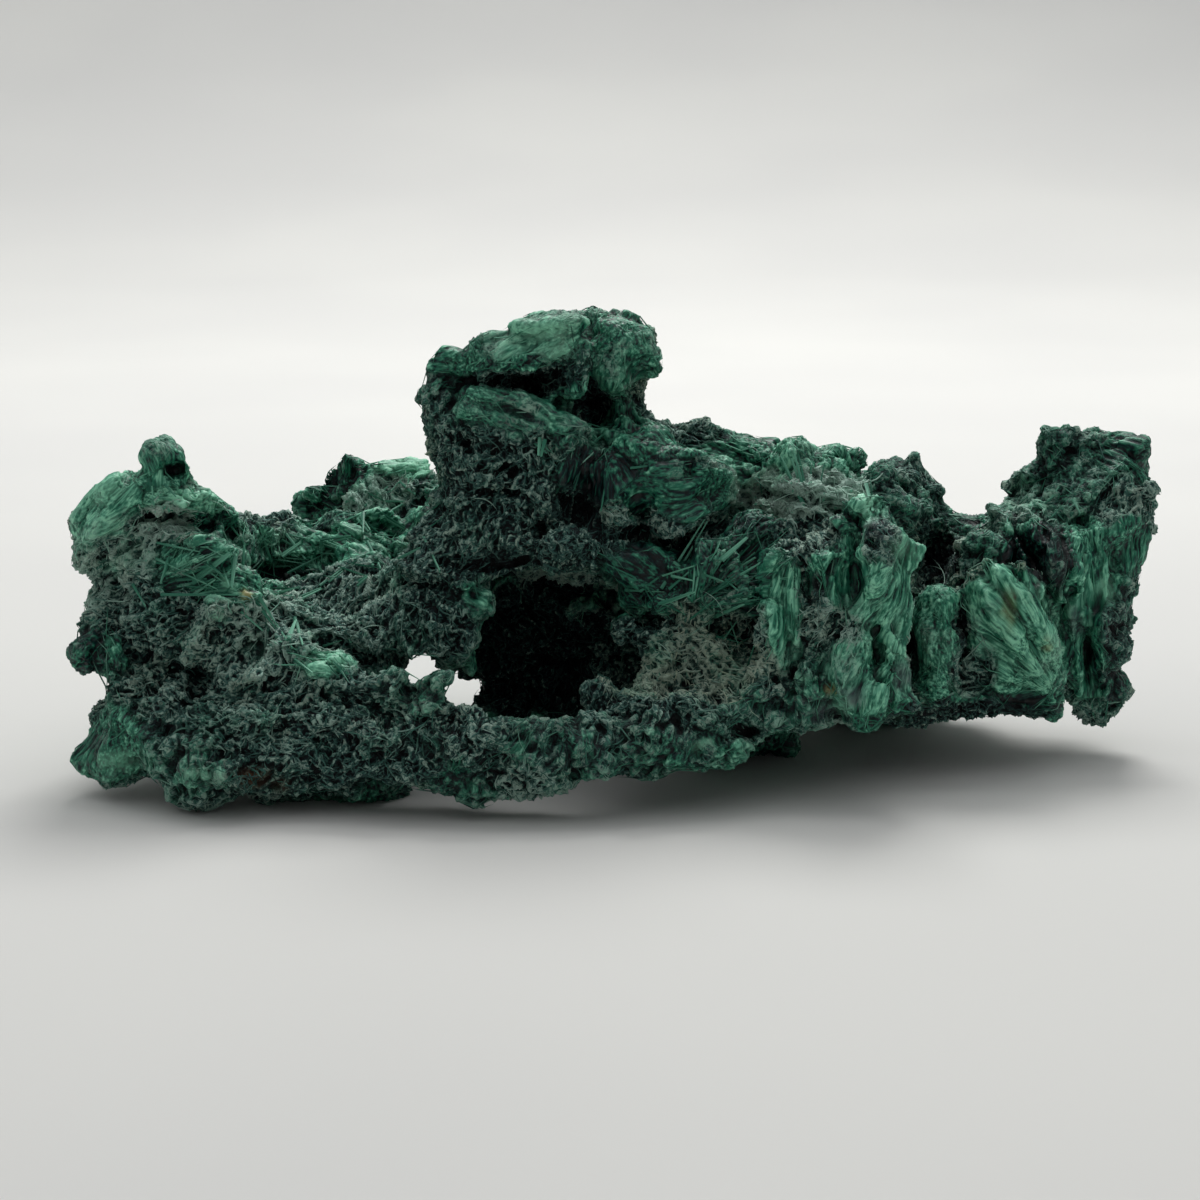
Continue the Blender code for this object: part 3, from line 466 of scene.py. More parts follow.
# kinds of surface: in mm the height and spacing of bundles and of single fibres, how far one runs, the
# height of broken steps and the depth of pits; as shares, how rugged, crusted, brown and thready it is
kinds = {kind["name"]: kind for kind in rows(
    "name bundle bundleGap fibre fibreGap run step pit rugged crust brown threads", [
        ("silk", 0.5, 2.1, 0.26, 0.8, 14.0, 0.26, 0.0, 0.3, 0.0, 0.0, 1.0),
        ("sheet", 0.3, 2.9, 0.17, 0.72, 22.0, 0.14, 0.0, 0.1, -0.1, 0.0, 0.16),
        ("smooth", 0.2, 2.4, 0.14, 0.8, 8.0, 0.1, 0.1, 0.2, 0.12, 0.0, 0.2),
        ("crust", 0.3, 1.5, 0.34, 0.66, 7.0, 0.16, 0.22, 0.52, 1.0, 0.0, 1.0),
        ("moss", 0.16, 1.4, 0.36, 0.75, 2.4, 0.0, 0.3, 0.4, 1.0, 1.0, 1.0),
        ("knob", 0.3, 1.5, 0.2, 0.7, 3.0, 0.0, 0.1, 1.0, 0.5, 0.0, 0.6),
    ]
)}

# patches of the surface: pixel centre, half size in pixels, kind, the pixel its fibres spring from, how deep
# that root lies behind the surface in mm, and a tone from 0 dark to 1 pale
# tones below 0, in the cave, in deep hollows and along the underside, are painted shade
patches = rows("at2 half2 kind root2 deep tone", [
    (100, 512, 38, 34, "sheet", 200, 420, 1, 0.85), (165, 455, 28, 24, "smooth", 175, 540, 3, 0.6),
    (185, 500, 40, 11, "silk", 100, 500, 2, 1.1), (222, 528, 24, 14, "silk", 222, 470, 2, 0.15),
    (115, 565, 40, 34, "crust", 60, 620, 3, 1.0), (150, 615, 44, 36, "crust", 240, 600, 5, 0.42),
    (186, 563, 24, 13, "silk", 155, 585, 1, 0.85), (218, 590, 34, 14, "silk", 120, 610, 3, 0.6),
    (95, 655, 22, 22, "knob", 120, 640, 4, 0.05), (119, 656, 11, 16, "silk", 119, 700, 2, 0.35),
    (255, 610, 38, 13, "crust", 200, 600, 2, 1.0), (206, 522, 28, 7, "silk", 206, 470, 1, 0.15),
    (962, 636, 7, 36, "crust", 962, 560, 2, -0.1), (582, 508, 22, 26, "crust", 582, 440, 3, -0.2),
    (514, 478, 32, 12, "crust", 440, 470, 2, 0.6), (578, 545, 24, 9, "crust", 540, 560, 2, 0.5),
    (500, 562, 38, 10, "crust", 500, 520, 3, -0.3), (500, 598, 34, 11, "crust", 500, 560, 3, -0.5),
    (552, 594, 30, 12, "crust", 552, 560, 3, -0.5), (596, 622, 18, 18, "crust", 596, 590, 3, -0.2),
    (1132, 545, 20, 26, "sheet", 1120, 430, 1, 0.42), (160, 474, 10, 16, "sheet", 160, 400, 1, 0.75),
    (205, 568, 50, 26, "silk", 110, 600, 2, 0.5), (160, 522, 28, 15, "crust", 60, 560, 3, 1.45),
    (236, 650, 50, 34, "crust", 300, 560, 6, 0.72), (180, 690, 54, 32, "crust", 40, 700, 7, 0.42),
    (270, 715, 56, 34, "crust", 120, 770, 7, 0.5), (100, 745, 34, 36, "sheet", 150, 690, 3, 0.5),
    (178, 772, 52, 24, "knob", 200, 700, 4, 0.52), (300, 775, 70, 26, "crust", 150, 790, 7, 0.18),
    (332, 664, 24, 16, "silk", 362, 690, 1, 0.95), (372, 690, 34, 22, "crust", 300, 690, 3, 0.5),
    (420, 688, 26, 22, "knob", 420, 720, 3, 0.4), (318, 545, 52, 24, "silk", 240, 500, 4, 0.75),
    (350, 590, 52, 28, "crust", 380, 500, 5, 0.62), (330, 635, 50, 22, "crust", 420, 640, 4, 0.55),
    (410, 625, 44, 36, "crust", 420, 540, 6, 0.35), (420, 560, 44, 30, "crust", 520, 500, 5, 0.3),
    (273, 575, 24, 10, "silk", 273, 520, 2, 0.12), (312, 488, 12, 18, "silk", 312, 530, 2, 0.4),
    (345, 475, 22, 26, "silk", 350, 530, 3, 0.22), (372, 492, 32, 22, "crust", 340, 440, 3, 1.4),
    (396, 467, 32, 9, "silk", 460, 470, 2, 1.2), (395, 515, 34, 18, "silk", 440, 480, 2, 0.66),
    (440, 400, 30, 34, "knob", 470, 360, 4, 0.2), (452, 355, 30, 20, "sheet", 520, 380, 4, 0.5),
    (536, 334, 42, 20, "smooth", 640, 300, 2, 0.9), (615, 335, 40, 26, "smooth", 600, 420, 6, 0.58),
    (612, 378, 24, 16, "smooth", 600, 420, 4, 0.6), (525, 378, 48, 18, "crust", 520, 330, 4, 0.2),
    (515, 413, 62, 20, "smooth", 420, 380, 4, 0.55), (590, 405, 18, 22, "crust", 590, 380, 4, 0.06),
    (619, 428, 24, 24, "silk", 619, 370, 1, 0.5), (455, 455, 40, 34, "crust", 460, 380, 5, 0.3),
    (510, 470, 52, 34, "crust", 560, 400, 5, 0.25), (480, 525, 58, 34, "crust", 520, 440, 6, 0.24),
    (535, 655, 62, 48, "crust", 535, 560, 9, -0.5), (560, 560, 52, 38, "crust", 560, 470, 6, 0.1),
    (596, 478, 36, 28, "sheet", 590, 420, 1, 0.05), (655, 440, 44, 18, "sheet", 690, 500, 4, 0.4),
    (673, 488, 50, 26, "sheet", 770, 476, 1, 0.38), (612, 512, 30, 9, "crust", 560, 490, 2, 0.6),
    (670, 524, 26, 8, "crust", 700, 520, 2, 0.5), (636, 535, 22, 12, "crust", 636, 500, 3, 0.1),
    (640, 575, 40, 30, "sheet", 700, 606, 2, 0.02), (640, 608, 34, 10, "silk", 720, 600, 1, 0.4),
    (700, 562, 14, 34, "sheet", 694, 620, 1, 0.3), (745, 570, 38, 36, "silk", 690, 608, 1, 0.28),
    (742, 520, 28, 22, "silk", 700, 600, 2, 0.1), (804, 494, 54, 24, "crust", 700, 480, 2, 1.85),
    (800, 540, 36, 20, "crust", 760, 480, 4, 0.35), (805, 456, 48, 20, "silk", 812, 530, 2, 0.75),
    (738, 460, 36, 16, "silk", 820, 500, 2, 0.6), (905, 490, 46, 32, "knob", 900, 540, 5, 0.3),
    (868, 512, 12, 15, "silk", 900, 450, 1, 0.8), (905, 545, 24, 22, "sheet", 930, 440, 3, 0.7),
    (886, 605, 32, 44, "sheet", 930, 460, 1, 0.88), (862, 672, 36, 36, "sheet", 930, 500, 1, 0.85),
    (845, 574, 26, 30, "sheet", 846, 500, 1, 0.72), (842, 622, 26, 22, "crust", 900, 560, 4, 0.8),
    (783, 612, 15, 50, "sheet", 790, 500, 1, 0.92), (815, 585, 9, 16, "crust", 815, 550, 2, 0.05),
    (800, 700, 40, 34, "knob", 800, 650, 5, 0.36), (856, 722, 40, 20, "crust", 900, 690, 3, 0.75),
    (690, 668, 76, 32, "moss", 560, 640, 6, 0.9), (742, 642, 30, 22, "moss", 700, 700, 5, 0.6),
    (640, 640, 26, 24, "crust", 640, 600, 4, 0.16), (606, 655, 24, 30, "crust", 606, 600, 4, 0.3),
    (560, 740, 66, 30, "knob", 560, 680, 6, 0.3), (660, 745, 56, 28, "knob", 660, 690, 6, 0.3),
    (735, 758, 26, 12, "silk", 700, 740, 3, 0.7), (470, 730, 40, 34, "crust", 480, 680, 6, 0.3),
    (460, 790, 30, 18, "knob", 460, 740, 4, 0.22), (390, 745, 46, 36, "crust", 390, 690, 6, 0.22),
    (935, 640, 19, 46, "sheet", 935, 720, 4, 0.68), (908, 655, 9, 46, "crust", 908, 600, 3, 0.1),
    (1018, 632, 56, 52, "sheet", 1072, 712, 1, 1.0), (972, 668, 24, 22, "crust", 1040, 700, 3, 0.55),
    (982, 553, 22, 16, "knob", 982, 580, 3, 0.35), (940, 560, 26, 26, "crust", 940, 520, 4, 0.04),
    (1036, 562, 32, 30, "sheet", 1040, 490, 2, -0.2), (1028, 500, 44, 20, "knob", 1040, 560, 6, 0.75),
    (1090, 575, 22, 50, "sheet", 1090, 460, 1, 0.72), (1084, 660, 18, 40, "sheet", 1090, 560, 1, 0.55),
    (1116, 650, 18, 60, "knob", 1090, 650, 5, 0.16), (1060, 448, 34, 24, "knob", 1060, 500, 6, 0.34),
    (1112, 444, 34, 20, "silk", 1040, 440, 3, 0.3), (1122, 500, 24, 20, "crust", 1122, 430, 2, 0.55),
    (1075, 490, 34, 22, "knob", 1060, 540, 6, 0.45), (950, 714, 90, 10, "crust", 950, 690, 3, -0.3),
])

# small coloured places, and places of painted shade: pixel centre, half size in pixels, strength
spots = {
    "mint": [
        (78, 508, 10, 9, 1.0), (867, 502, 9, 12, 1.0), (540, 330, 26, 8, 0.9), (330, 663, 16, 8, 0.7),
        (216, 506, 10, 4, 0.7), (395, 466, 26, 5, 0.7), (228, 580, 5, 9, 0.8), (218, 614, 8, 4, 0.8),
        (902, 548, 16, 12, 0.5), (802, 678, 6, 5, 0.9), (868, 728, 12, 5, 0.8), (700, 745, 10, 5, 0.6),
        (1106, 588, 9, 12, 0.6), (900, 600, 10, 26, 0.35), (120, 760, 26, 10, 0.5), (200, 775, 18, 8, 0.45),
        (98, 492, 30, 12, 0.5), (190, 499, 32, 5, 0.6), (560, 350, 16, 10, 0.5), (908, 575, 8, 34, 0.4),
        (898, 700, 10, 16, 0.4), (846, 704, 12, 8, 0.6),
    ],
    "rust": [
        (252, 777, 18, 11, 0.9), (282, 786, 12, 6, 0.5),
    ],
    "ochre": [
        (248, 593, 7, 5, 1.0), (829, 692, 5, 6, 0.8), (1009, 610, 7, 20, 0.45), (1046, 646, 5, 7, 0.5),
    ],
    "mauve": [
        (853, 697, 14, 12, 0.8), (903, 676, 12, 14, 0.7), (820, 712, 14, 12, 0.6), (1076, 620, 7, 16, 0.6),
        (876, 530, 14, 10, 0.6),
    ],
    # pitShade: near-black painted shade in pits and slits
    "pitShade": [
        (687, 549, 11, 14, 1.6), (590, 400, 14, 14, 1.4), (528, 380, 40, 10, 1.0), (170, 469, 9, 8, 1.4),
        (273, 576, 24, 9, 1.2), (586, 512, 18, 18, 1.2), (636, 532, 18, 8, 1.2), (916, 640, 6, 38, 1.2),
        (964, 634, 5, 32, 1.2), (940, 560, 20, 20, 1.0), (1089, 655, 4, 24, 1.2), (500, 561, 34, 6, 0.9),
        (210, 525, 20, 4, 0.9), (875, 660, 3, 26, 1.1), (815, 584, 6, 13, 1.0), (1036, 575, 4, 20, 1.0),
        (1056, 590, 4, 18, 1.0), (745, 731, 10, 9, 1.2), (640, 630, 16, 10, 1.1),
    ],
}

# patches on the sides that the photograph doesn't show, strewn at random
farSides = {
    "count": 150,
    "half": (3.0, 5.5),  # mm
    "apart": 3.4,
    "kinds": ("crust", "crust", "silk", "silk", "moss", "knob"),
    "rootDeep": (3.0, 8.0),
    "tone": (0.15, 0.8),
}


def strewnPatches(places, normals):
    chance = random.Random(seeds["farSides"])
    order = list(range(len(places)))
    chance.shuffle(order)
    chosen = []
    for index in order:
        if len(chosen) >= farSides["count"]:
            break
        place = places[index]
        if all(np.linalg.norm(place - other["centre"]) > farSides["apart"] for other in chosen):
            away = normals[index] + 0.8 * anyWay(chance)
            chosen.append({
                "centre": place,
                "half": np.array([chance.uniform(*farSides["half"])] * 3),
                "kind": chance.choice(farSides["kinds"]),
                "root": place - away / np.linalg.norm(away) * chance.uniform(*farSides["rootDeep"]),
                "tone": chance.uniform(*farSides["tone"]),
            })
    return chosen


def patchMap(places, normals):
    # the two patches nearest to each vertex, counted in half sizes, and the share of the nearer one
    x, y, depth = seenAt(places)
    ragged = perlinVector(places, 2.3, 3.3)
    x = x + 8.0 * ragged[:, 0]
    y = y + 8.0 * ragged[:, 1]
    turnedAway = np.clip(normals @ eyeAhead - 0.1, 0.0, 1.0)
    count = len(places)
    scores = {"first": np.full(count, 1e9), "second": np.full(count, 1e9)}
    owners = {"first": np.zeros(count, int), "second": np.zeros(count, int)}
    owners.update({"roots": [], "tones": [], "kinds": []})

    def claim(score, root, patch):
        nearest = score < scores["first"]
        second = ~nearest & (score < scores["second"])
        for ranks, mine in ((owners, len(owners["roots"])), (scores, score)):
            ranks["second"] = np.where(nearest, ranks["first"], np.where(second, mine, ranks["second"]))
            ranks["first"] = np.where(nearest, mine, ranks["first"])
        owners["roots"].append(root)
        owners["tones"].append(patch["tone"])
        owners["kinds"].append(patch["kind"])

    for patch in patches:
        front = depthAt(patch["at"])
        along, across = turnedOffset(x, y, patch["at"], patch["half"])
        span = max(0.7 * sum(patch["half"]) / pixelsPerSlope * front, 2.0)
        score = along**2 + across**2 + ((depth - front) / span) ** 2 + 3.0 * turnedAway
        claim(np.sqrt(score), placeAt(patch["root"], front + patch["deep"]), patch)
    seenScore = scores["first"].copy()
    for patch in strewnPatches(places, normals):
        offset = (places + 0.6 * ragged - patch["centre"]) / patch["half"]
        score = (offset**2).sum(1) + 2.6 * np.clip(2.2 - seenScore**2, 0.0, 3.0)
        claim(np.sqrt(score), patch["root"], patch)
    owners["share"] = 0.5 + 0.5 * smoothStep(scores["second"] - scores["first"], 0.0, 0.35)
    owners["roots"] = np.array(owners["roots"])
    return owners


def traitOf(owners, trait):
    return np.array([kinds[kind][trait] for kind in owners["kinds"]])


def blended(owners, values):  # a value of each patch, blended where two patches meet
    values = np.array(values)
    share = owners["share"]
    return share * values[owners["first"]] + (1.0 - share) * values[owners["second"]]


# lumps and crevices of the form: height or depth, and spacing, in mm
formRelief = {
    "swell": {"high": 0.4, "apart": 4.6},
    "crease": {"high": 0.8, "apart": 3.1},
    "boss": {"high": 0.34, "apart": 1.9},
    "warp": {"high": 0.9, "apart": 3.2},
}


def roughenForm(mesh):  # low on silk and high on crust
    places, ends = meshArrays(mesh)
    normals = softNormals(mesh, ends, 4)
    owners = patchMap(places, normals)
    rugged = spread(traitOf(owners, "rugged")[owners["first"]], ends, 4)
    swell, crease, boss, warp = formRelief.values()
    warped = places + warp["high"] * perlinVector(places, warp["apart"], 5.1)
    creases = ridged(perlin(warped, crease["apart"], 7.7), 2.2)
    bosses = ridged(perlin(warped, boss["apart"], 11.9), 1.7)
    height = swell["high"] * (0.4 + 0.6 * rugged) * perlin(warped, swell["apart"], 2.4)
    height = height - crease["high"] * rugged * creases**2 + boss["high"] * rugged * (bosses - 0.4)
    setPlaces(mesh, places + height[:, None] * normals)


# fine relief: fibres, worm-like crust, knobs


def headings(places, owners, rank):  # way and length from the root of a patch to each vertex
    outward = places - owners["roots"][owners[rank]]
    reach = np.linalg.norm(outward, axis=1) + 1e-6
    return outward / reach[:, None], reach


def fibreRelief(places, owners, rank):
    owner = owners[rank]
    kindOf = np.array(owners["kinds"])[owner]
    heading, reach = headings(places, owners, rank)
    heading = heading + 0.04 * perlinVector(places, 5.0, 8.8)
    count = len(owners["roots"])
    usual = (np.bincount(owner, reach, count) / np.maximum(np.bincount(owner, minlength=count), 1))[owner]
    phase = (owner * 0.37) % 1.0
    lean = np.array((0.61, 0.53, 0.59))
    height = np.zeros(len(places))
    across = heading * usual[:, None]  # a place on the sheaf's cross section, in mm at its middle
    for kind, form in kinds.items():
        chosen = np.nonzero(kindOf == kind)[0]
        if not len(chosen):
            continue
        here = across[chosen] + 7.0 * phase[chosen][:, None]
        run = np.outer(reach[chosen], lean) / form["run"]
        matted = kind in ("crust", "moss")
        if matted:
            here = here + 0.4 * perlinVector(places[chosen], 1.3, 4.4)
        bundle = np.abs(perlin(here / form["bundleGap"] + run, 1.0, 1.1))
        fibre = np.abs(perlin(here / form["fibreGap"] + 1.6 * run, 1.0, 6.1))
        if matted:  # thin ridges over broad gaps
            part = form["bundle"] * (np.clip(1.0 - 2.2 * bundle, 0, 1) - 0.4)
            part += form["fibre"] * (np.clip(1.0 - 2.6 * fibre, 0, 1) - 0.35)
        else:  # rounded rods with sharp grooves between them
            part = form["bundle"] * (np.minimum(2.0 * bundle, 1.0) ** 0.6 - 0.7)
            part += form["fibre"] * (np.minimum(2.4 * fibre, 1.0) ** 0.7 - 0.7)
        if form["pit"]:
            part -= form["pit"] * smoothStep(-perlin(places[chosen], 1.2, 2.2), 0.1, 0.5)
        if form["step"]:  # fibres end in broken steps, like shingles
            cut = perlin(here / 1.2, 1.0, 9.3)
            part += form["step"] * (0.5 - (reach[chosen] / 3.4 + 1.5 * cut + phase[chosen]) % 1.0)
        if kind == "knob":  # round grains
            cells = np.array([noise.voronoi(place)[0][0] for place in (places[chosen] / 1.25).tolist()])
            part += 0.6 * (0.45 - np.minimum(cells, 0.9))
        height[chosen] = part
    return height, across + np.outer(reach, lean) * 0.12


skin = {
    "formCell": 0.42,  # voxel of the first skin, which takes folds, hollows and lumps
    "fineCell": 0.18,  # voxel of the final skin, which takes fibres and crust
    "quickCell": 0.34,
    "sideRoom": 0.025,  # share of each side that the skin may stand proud of the solid
    "near": 10,  # rounds of averaging for the mean surface, and for the wider one
    "wide": 30,
}


def keepInside(places):  # the skin stays within a share of each side of the solid
    low, high = (np.array(corner) / mm for corner in cadBox)
    room = (high - low) * skin["sideRoom"]
    low = low - room
    high = high + room
    low[2] = 0.0
    return np.clip(places, low, high)


def spotStrength(seen, ragged, kind):
    x, y, depth = seen
    moved = (x + 4 * ragged[:, 0], y + 4 * ragged[:, 1], depth)
    strength = np.zeros(len(depth))
    for spot in rows("at2 half2 much", spots[kind]):
        strength = np.maximum(strength, nearness(moved, spot, "spot", 1.5) * spot["much"])
    return strength


def dressStone():
    growSheaves(baseForm)
    growBalls(baseForm)
    hangDrapes(baseForm)
    rough = bpy.data.meshes.new("rough")
    baseForm.to_mesh(rough)
    first = remeshed(rough, skin["formCell"])
    roughenForm(first)
    shapeByHand(first)
    print("first skin:", len(first.vertices), "vertices")
    fine = remeshed(first, skin["fineCell"])
    places, ends = meshArrays(fine)
    normals = softNormals(fine, ends, 2)
    print("fine skin:", len(places), "vertices")
    owners = patchMap(places, normals)
    height, grain = fibreRelief(places, owners, "first")
    secondHeight = fibreRelief(places, owners, "second")[0]
    height = owners["share"] * height + (1.0 - owners["share"]) * secondHeight
    moved = keepInside(places + height[:, None] * normals)
    setPlaces(fine, moved)
    print("relief laid on")
    rest = spread(moved, ends, skin["near"])
    facing = meshNormals(fine)
    crust = blended(owners, traitOf(owners, "crust"))
    crust = np.clip(crust + 0.45 * perlin(places, 3.4, 13.1) + 0.2 * perlin(places, 1.3, 15.7), 0.0, 1.0)
    surface = {
        "places": moved,
        "normals": facing,
        "heading": headings(places, owners, "first")[0],
        "threads": blended(owners, traitOf(owners, "threads")),
        "crust": crust,
        "tone": blended(owners, owners["tones"]) + 0.12 * perlin(places, 4.0, 19.3),
        "brown": blended(owners, traitOf(owners, "brown")),
    }
    for name in ("crust", "brown", "tone"):
        setAttribute(fine, name, surface[name])
    # how far each vertex lies above or below the mean surface, and that above the wider one, in mm; the
    # material paints shade into low places and highlights onto high ones from them
    setAttribute(fine, "proud", ((moved - rest) * facing).sum(1))
    setAttribute(fine, "stands", ((rest - spread(rest, ends, skin["wide"])) * facing).sum(1))
    setAttribute(fine, "grain", grain, "FLOAT_VECTOR")
    ragged = perlinVector(places, 1.4, 6.6)
    for kind in spots:
        setAttribute(fine, kind, spotStrength(seenAt(places), ragged, kind))
    print("patches painted")
    return fine, surface


# strands: matted threads of the crust and silky fibres

strands = {
    # mm: length, thickness, how far the middle or tip lifts off the skin, how deep the root is in it
    # radians per mm: curl
    "crust": {
        "count": 14000, "points": 6, "length": (0.7, 1.9), "thick": (0.09, 0.18), "curl": 0.65,
        "lift": 0.12, "buried": 0.06,
    },
    "silk": {
        "count": 5200, "points": 4, "length": (1.6, 4.2), "thick": (0.08, 0.15), "curl": 0.03,
        "lift": 0.14, "buried": 0.05,
    },
    "names": ("LeftEnd", "Saddle", "Centre", "RightEnd"),
    "at": (-22.0, -5.0, 12.0),  # mm along X, where one piece ends and the next begins
    "hiddenShare": 0.3,  # how thickly they grow where the photograph doesn't look
    "gap": 0.4,  # farthest that a strand's middle may be from the skin
    "lowest": 0.2,
}


def inSight(places):  # 1 where nothing stands between the photograph's camera and the place
    free = np.zeros(len(places))
    start = Vector(eye)
    for index, place in enumerate(places):
        ray = place - eye
        far = np.linalg.norm(ray)
        hit = stoneTree.ray_cast(start, Vector(ray / far))
        free[index] = hit[0] is None or hit[3] > far - 1.5
    return free


def traceStrand(tree, start, normal, way, form, curled, chance):
    step = chance.uniform(*form["length"]) / (form["points"] - 1)
    bend = form["curl"] * chance.uniform(-1.6, 1.6)
    lift = form["lift"] * chance.uniform(0.2, 1.1)
    line = []
    place = np.array(start)
    normal = np.array(normal)
    for share in np.linspace(0.0, 1.0, form["points"]):
        rise = lift * 4 * share * (1 - share) if curled else lift * share**1.5
        line.append(place + normal * (rise - form["buried"]))
        way = way - normal * (way @ normal)
        way = way / (np.linalg.norm(way) + 1e-9)
        turn = bend * step + form["curl"] * chance.uniform(-0.8, 0.8) * step
        way = way * math.cos(turn) + np.cross(normal, way) * math.sin(turn)
        hit = tree.find_nearest(Vector(place + way * step))
        place = np.array(hit[0])
        normal = 0.5 * normal + 0.5 * np.array(hit[1])
        normal = normal / (np.linalg.norm(normal) + 1e-9)
    return line


def bridgesAir(line, tree, form):  # whether a strand jumps over a gap, leaves the skin or dips to the floor
    points = np.array(line)
    steps = np.linalg.norm(np.diff(points, axis=0), axis=1)
    if steps.max() > 2.2 * steps.mean() or steps.sum() > 1.4 * form["length"][1]:
        return True
    middles = 0.5 * (points[1:] + points[:-1])
    away = max(tree.find_nearest(Vector(point))[3] for point in middles)
    return middles[:, 2].min() < strands["lowest"] or away > strands["gap"]


def tubes(name, lines, thick):  # three-sided tubes along the lines, pointed at both ends
    section = bpy.data.curves.new("section", "CURVE")
    outline = section.splines.new("POLY")
    outline.points.add(2)
    for point, angle in zip(outline.points, (90, 210, 330)):
        point.co = (math.cos(math.radians(angle)), math.sin(math.radians(angle)), 0, 1)
    outline.use_cyclic_u = True
    curve = bpy.data.curves.new(name, "CURVE")
    curve.dimensions = "3D"
    curve.bevel_mode = "OBJECT"
    curve.bevel_object = newObject("section", section)
    for line, width in zip(lines, thick):
        spline = curve.splines.new("POLY")
        spline.points.add(len(line) - 1)
        flat = np.ones((len(line), 4))
        flat[:, :3] = line
        spline.points.foreach_set("co", flat.ravel())
        taper = np.interp(np.linspace(0.0, 1.0, len(line)), (0.0, 0.25, 0.75, 1.0), (0.0, 1.0, 0.85, 0.0))
        spline.points.foreach_set("radius", width / 2 * taper)
    mesh = evaluated(newObject(name, curve))
    bpy.data.objects.remove(curve.bevel_object)
    return mesh


def closeTubes(mesh):  # each end shrinks to one point, and faces point outwards
    form = bmesh.new()
    form.from_mesh(mesh)
    bmesh.ops.remove_doubles(form, verts=form.verts, dist=0.0005)
    bmesh.ops.recalc_face_normals(form, faces=form.faces[:])
    for face in form.faces:
        face.smooth = True
    return writeMesh(form, mesh)


def strandPiece(name, form, batch):
    lines, thick, shades = zip(*batch)
    mesh = tubes(name, lines, thick)
    print(name, len(lines), "strands,", len(mesh.polygons), "faces")
    shade = np.repeat(np.array(shades), form["points"] * 3, axis=0)
    for column, label in enumerate(("tone", "crust", "brown")):
        setAttribute(mesh, label, shade[:, column])
    setAttribute(mesh, "along", np.tile(np.repeat(np.linspace(0, 1, form["points"]), 3), len(lines)))
    return newObject(name, closeTubes(mesh))


def growStrands(kind, surface, tree):
    form = strands[kind]
    curled = kind == "crust"
    chance = random.Random(seeds["strands"] + len(kind))
    dice = np.random.default_rng(seeds["strands"])
    places = surface["places"]
    fits = surface["threads"] * (surface["crust"] if curled else 1.0 - surface["crust"])
    picks = dice.choice(len(places), form["count"] * 3, p=fits / fits.sum())
    seen = inSight(places[picks])
    keep = dice.random(len(picks)) < np.where(seen > 0, 1.0, strands["hiddenShare"])
    batches = {name: [] for name in strands["names"]}
    for index in picks[keep][:form["count"]]:
        way = surface["heading"][index]
        if curled:
            way = way + 0.45 * anyWay(chance)
        line = traceStrand(tree, places[index], surface["normals"][index], way, form, curled, chance)
        if bridgesAir(line, tree, form):
            continue
        thick = chance.uniform(*form["thick"])
        pale = np.clip(surface["tone"][index] + chance.uniform(-0.4, 0.45), 0.0, 1.3)
        shade = (pale, surface["crust"][index], surface["brown"][index] * chance.uniform(0.2, 1.0))
        name = strands["names"][int(np.searchsorted(strands["at"], line[0][0]))]
        batches[name].append((line, thick, shade))
    return [strandPiece(kind + "Strands" + name, form, batch) for name, batch in batches.items()]


# needles and hairs

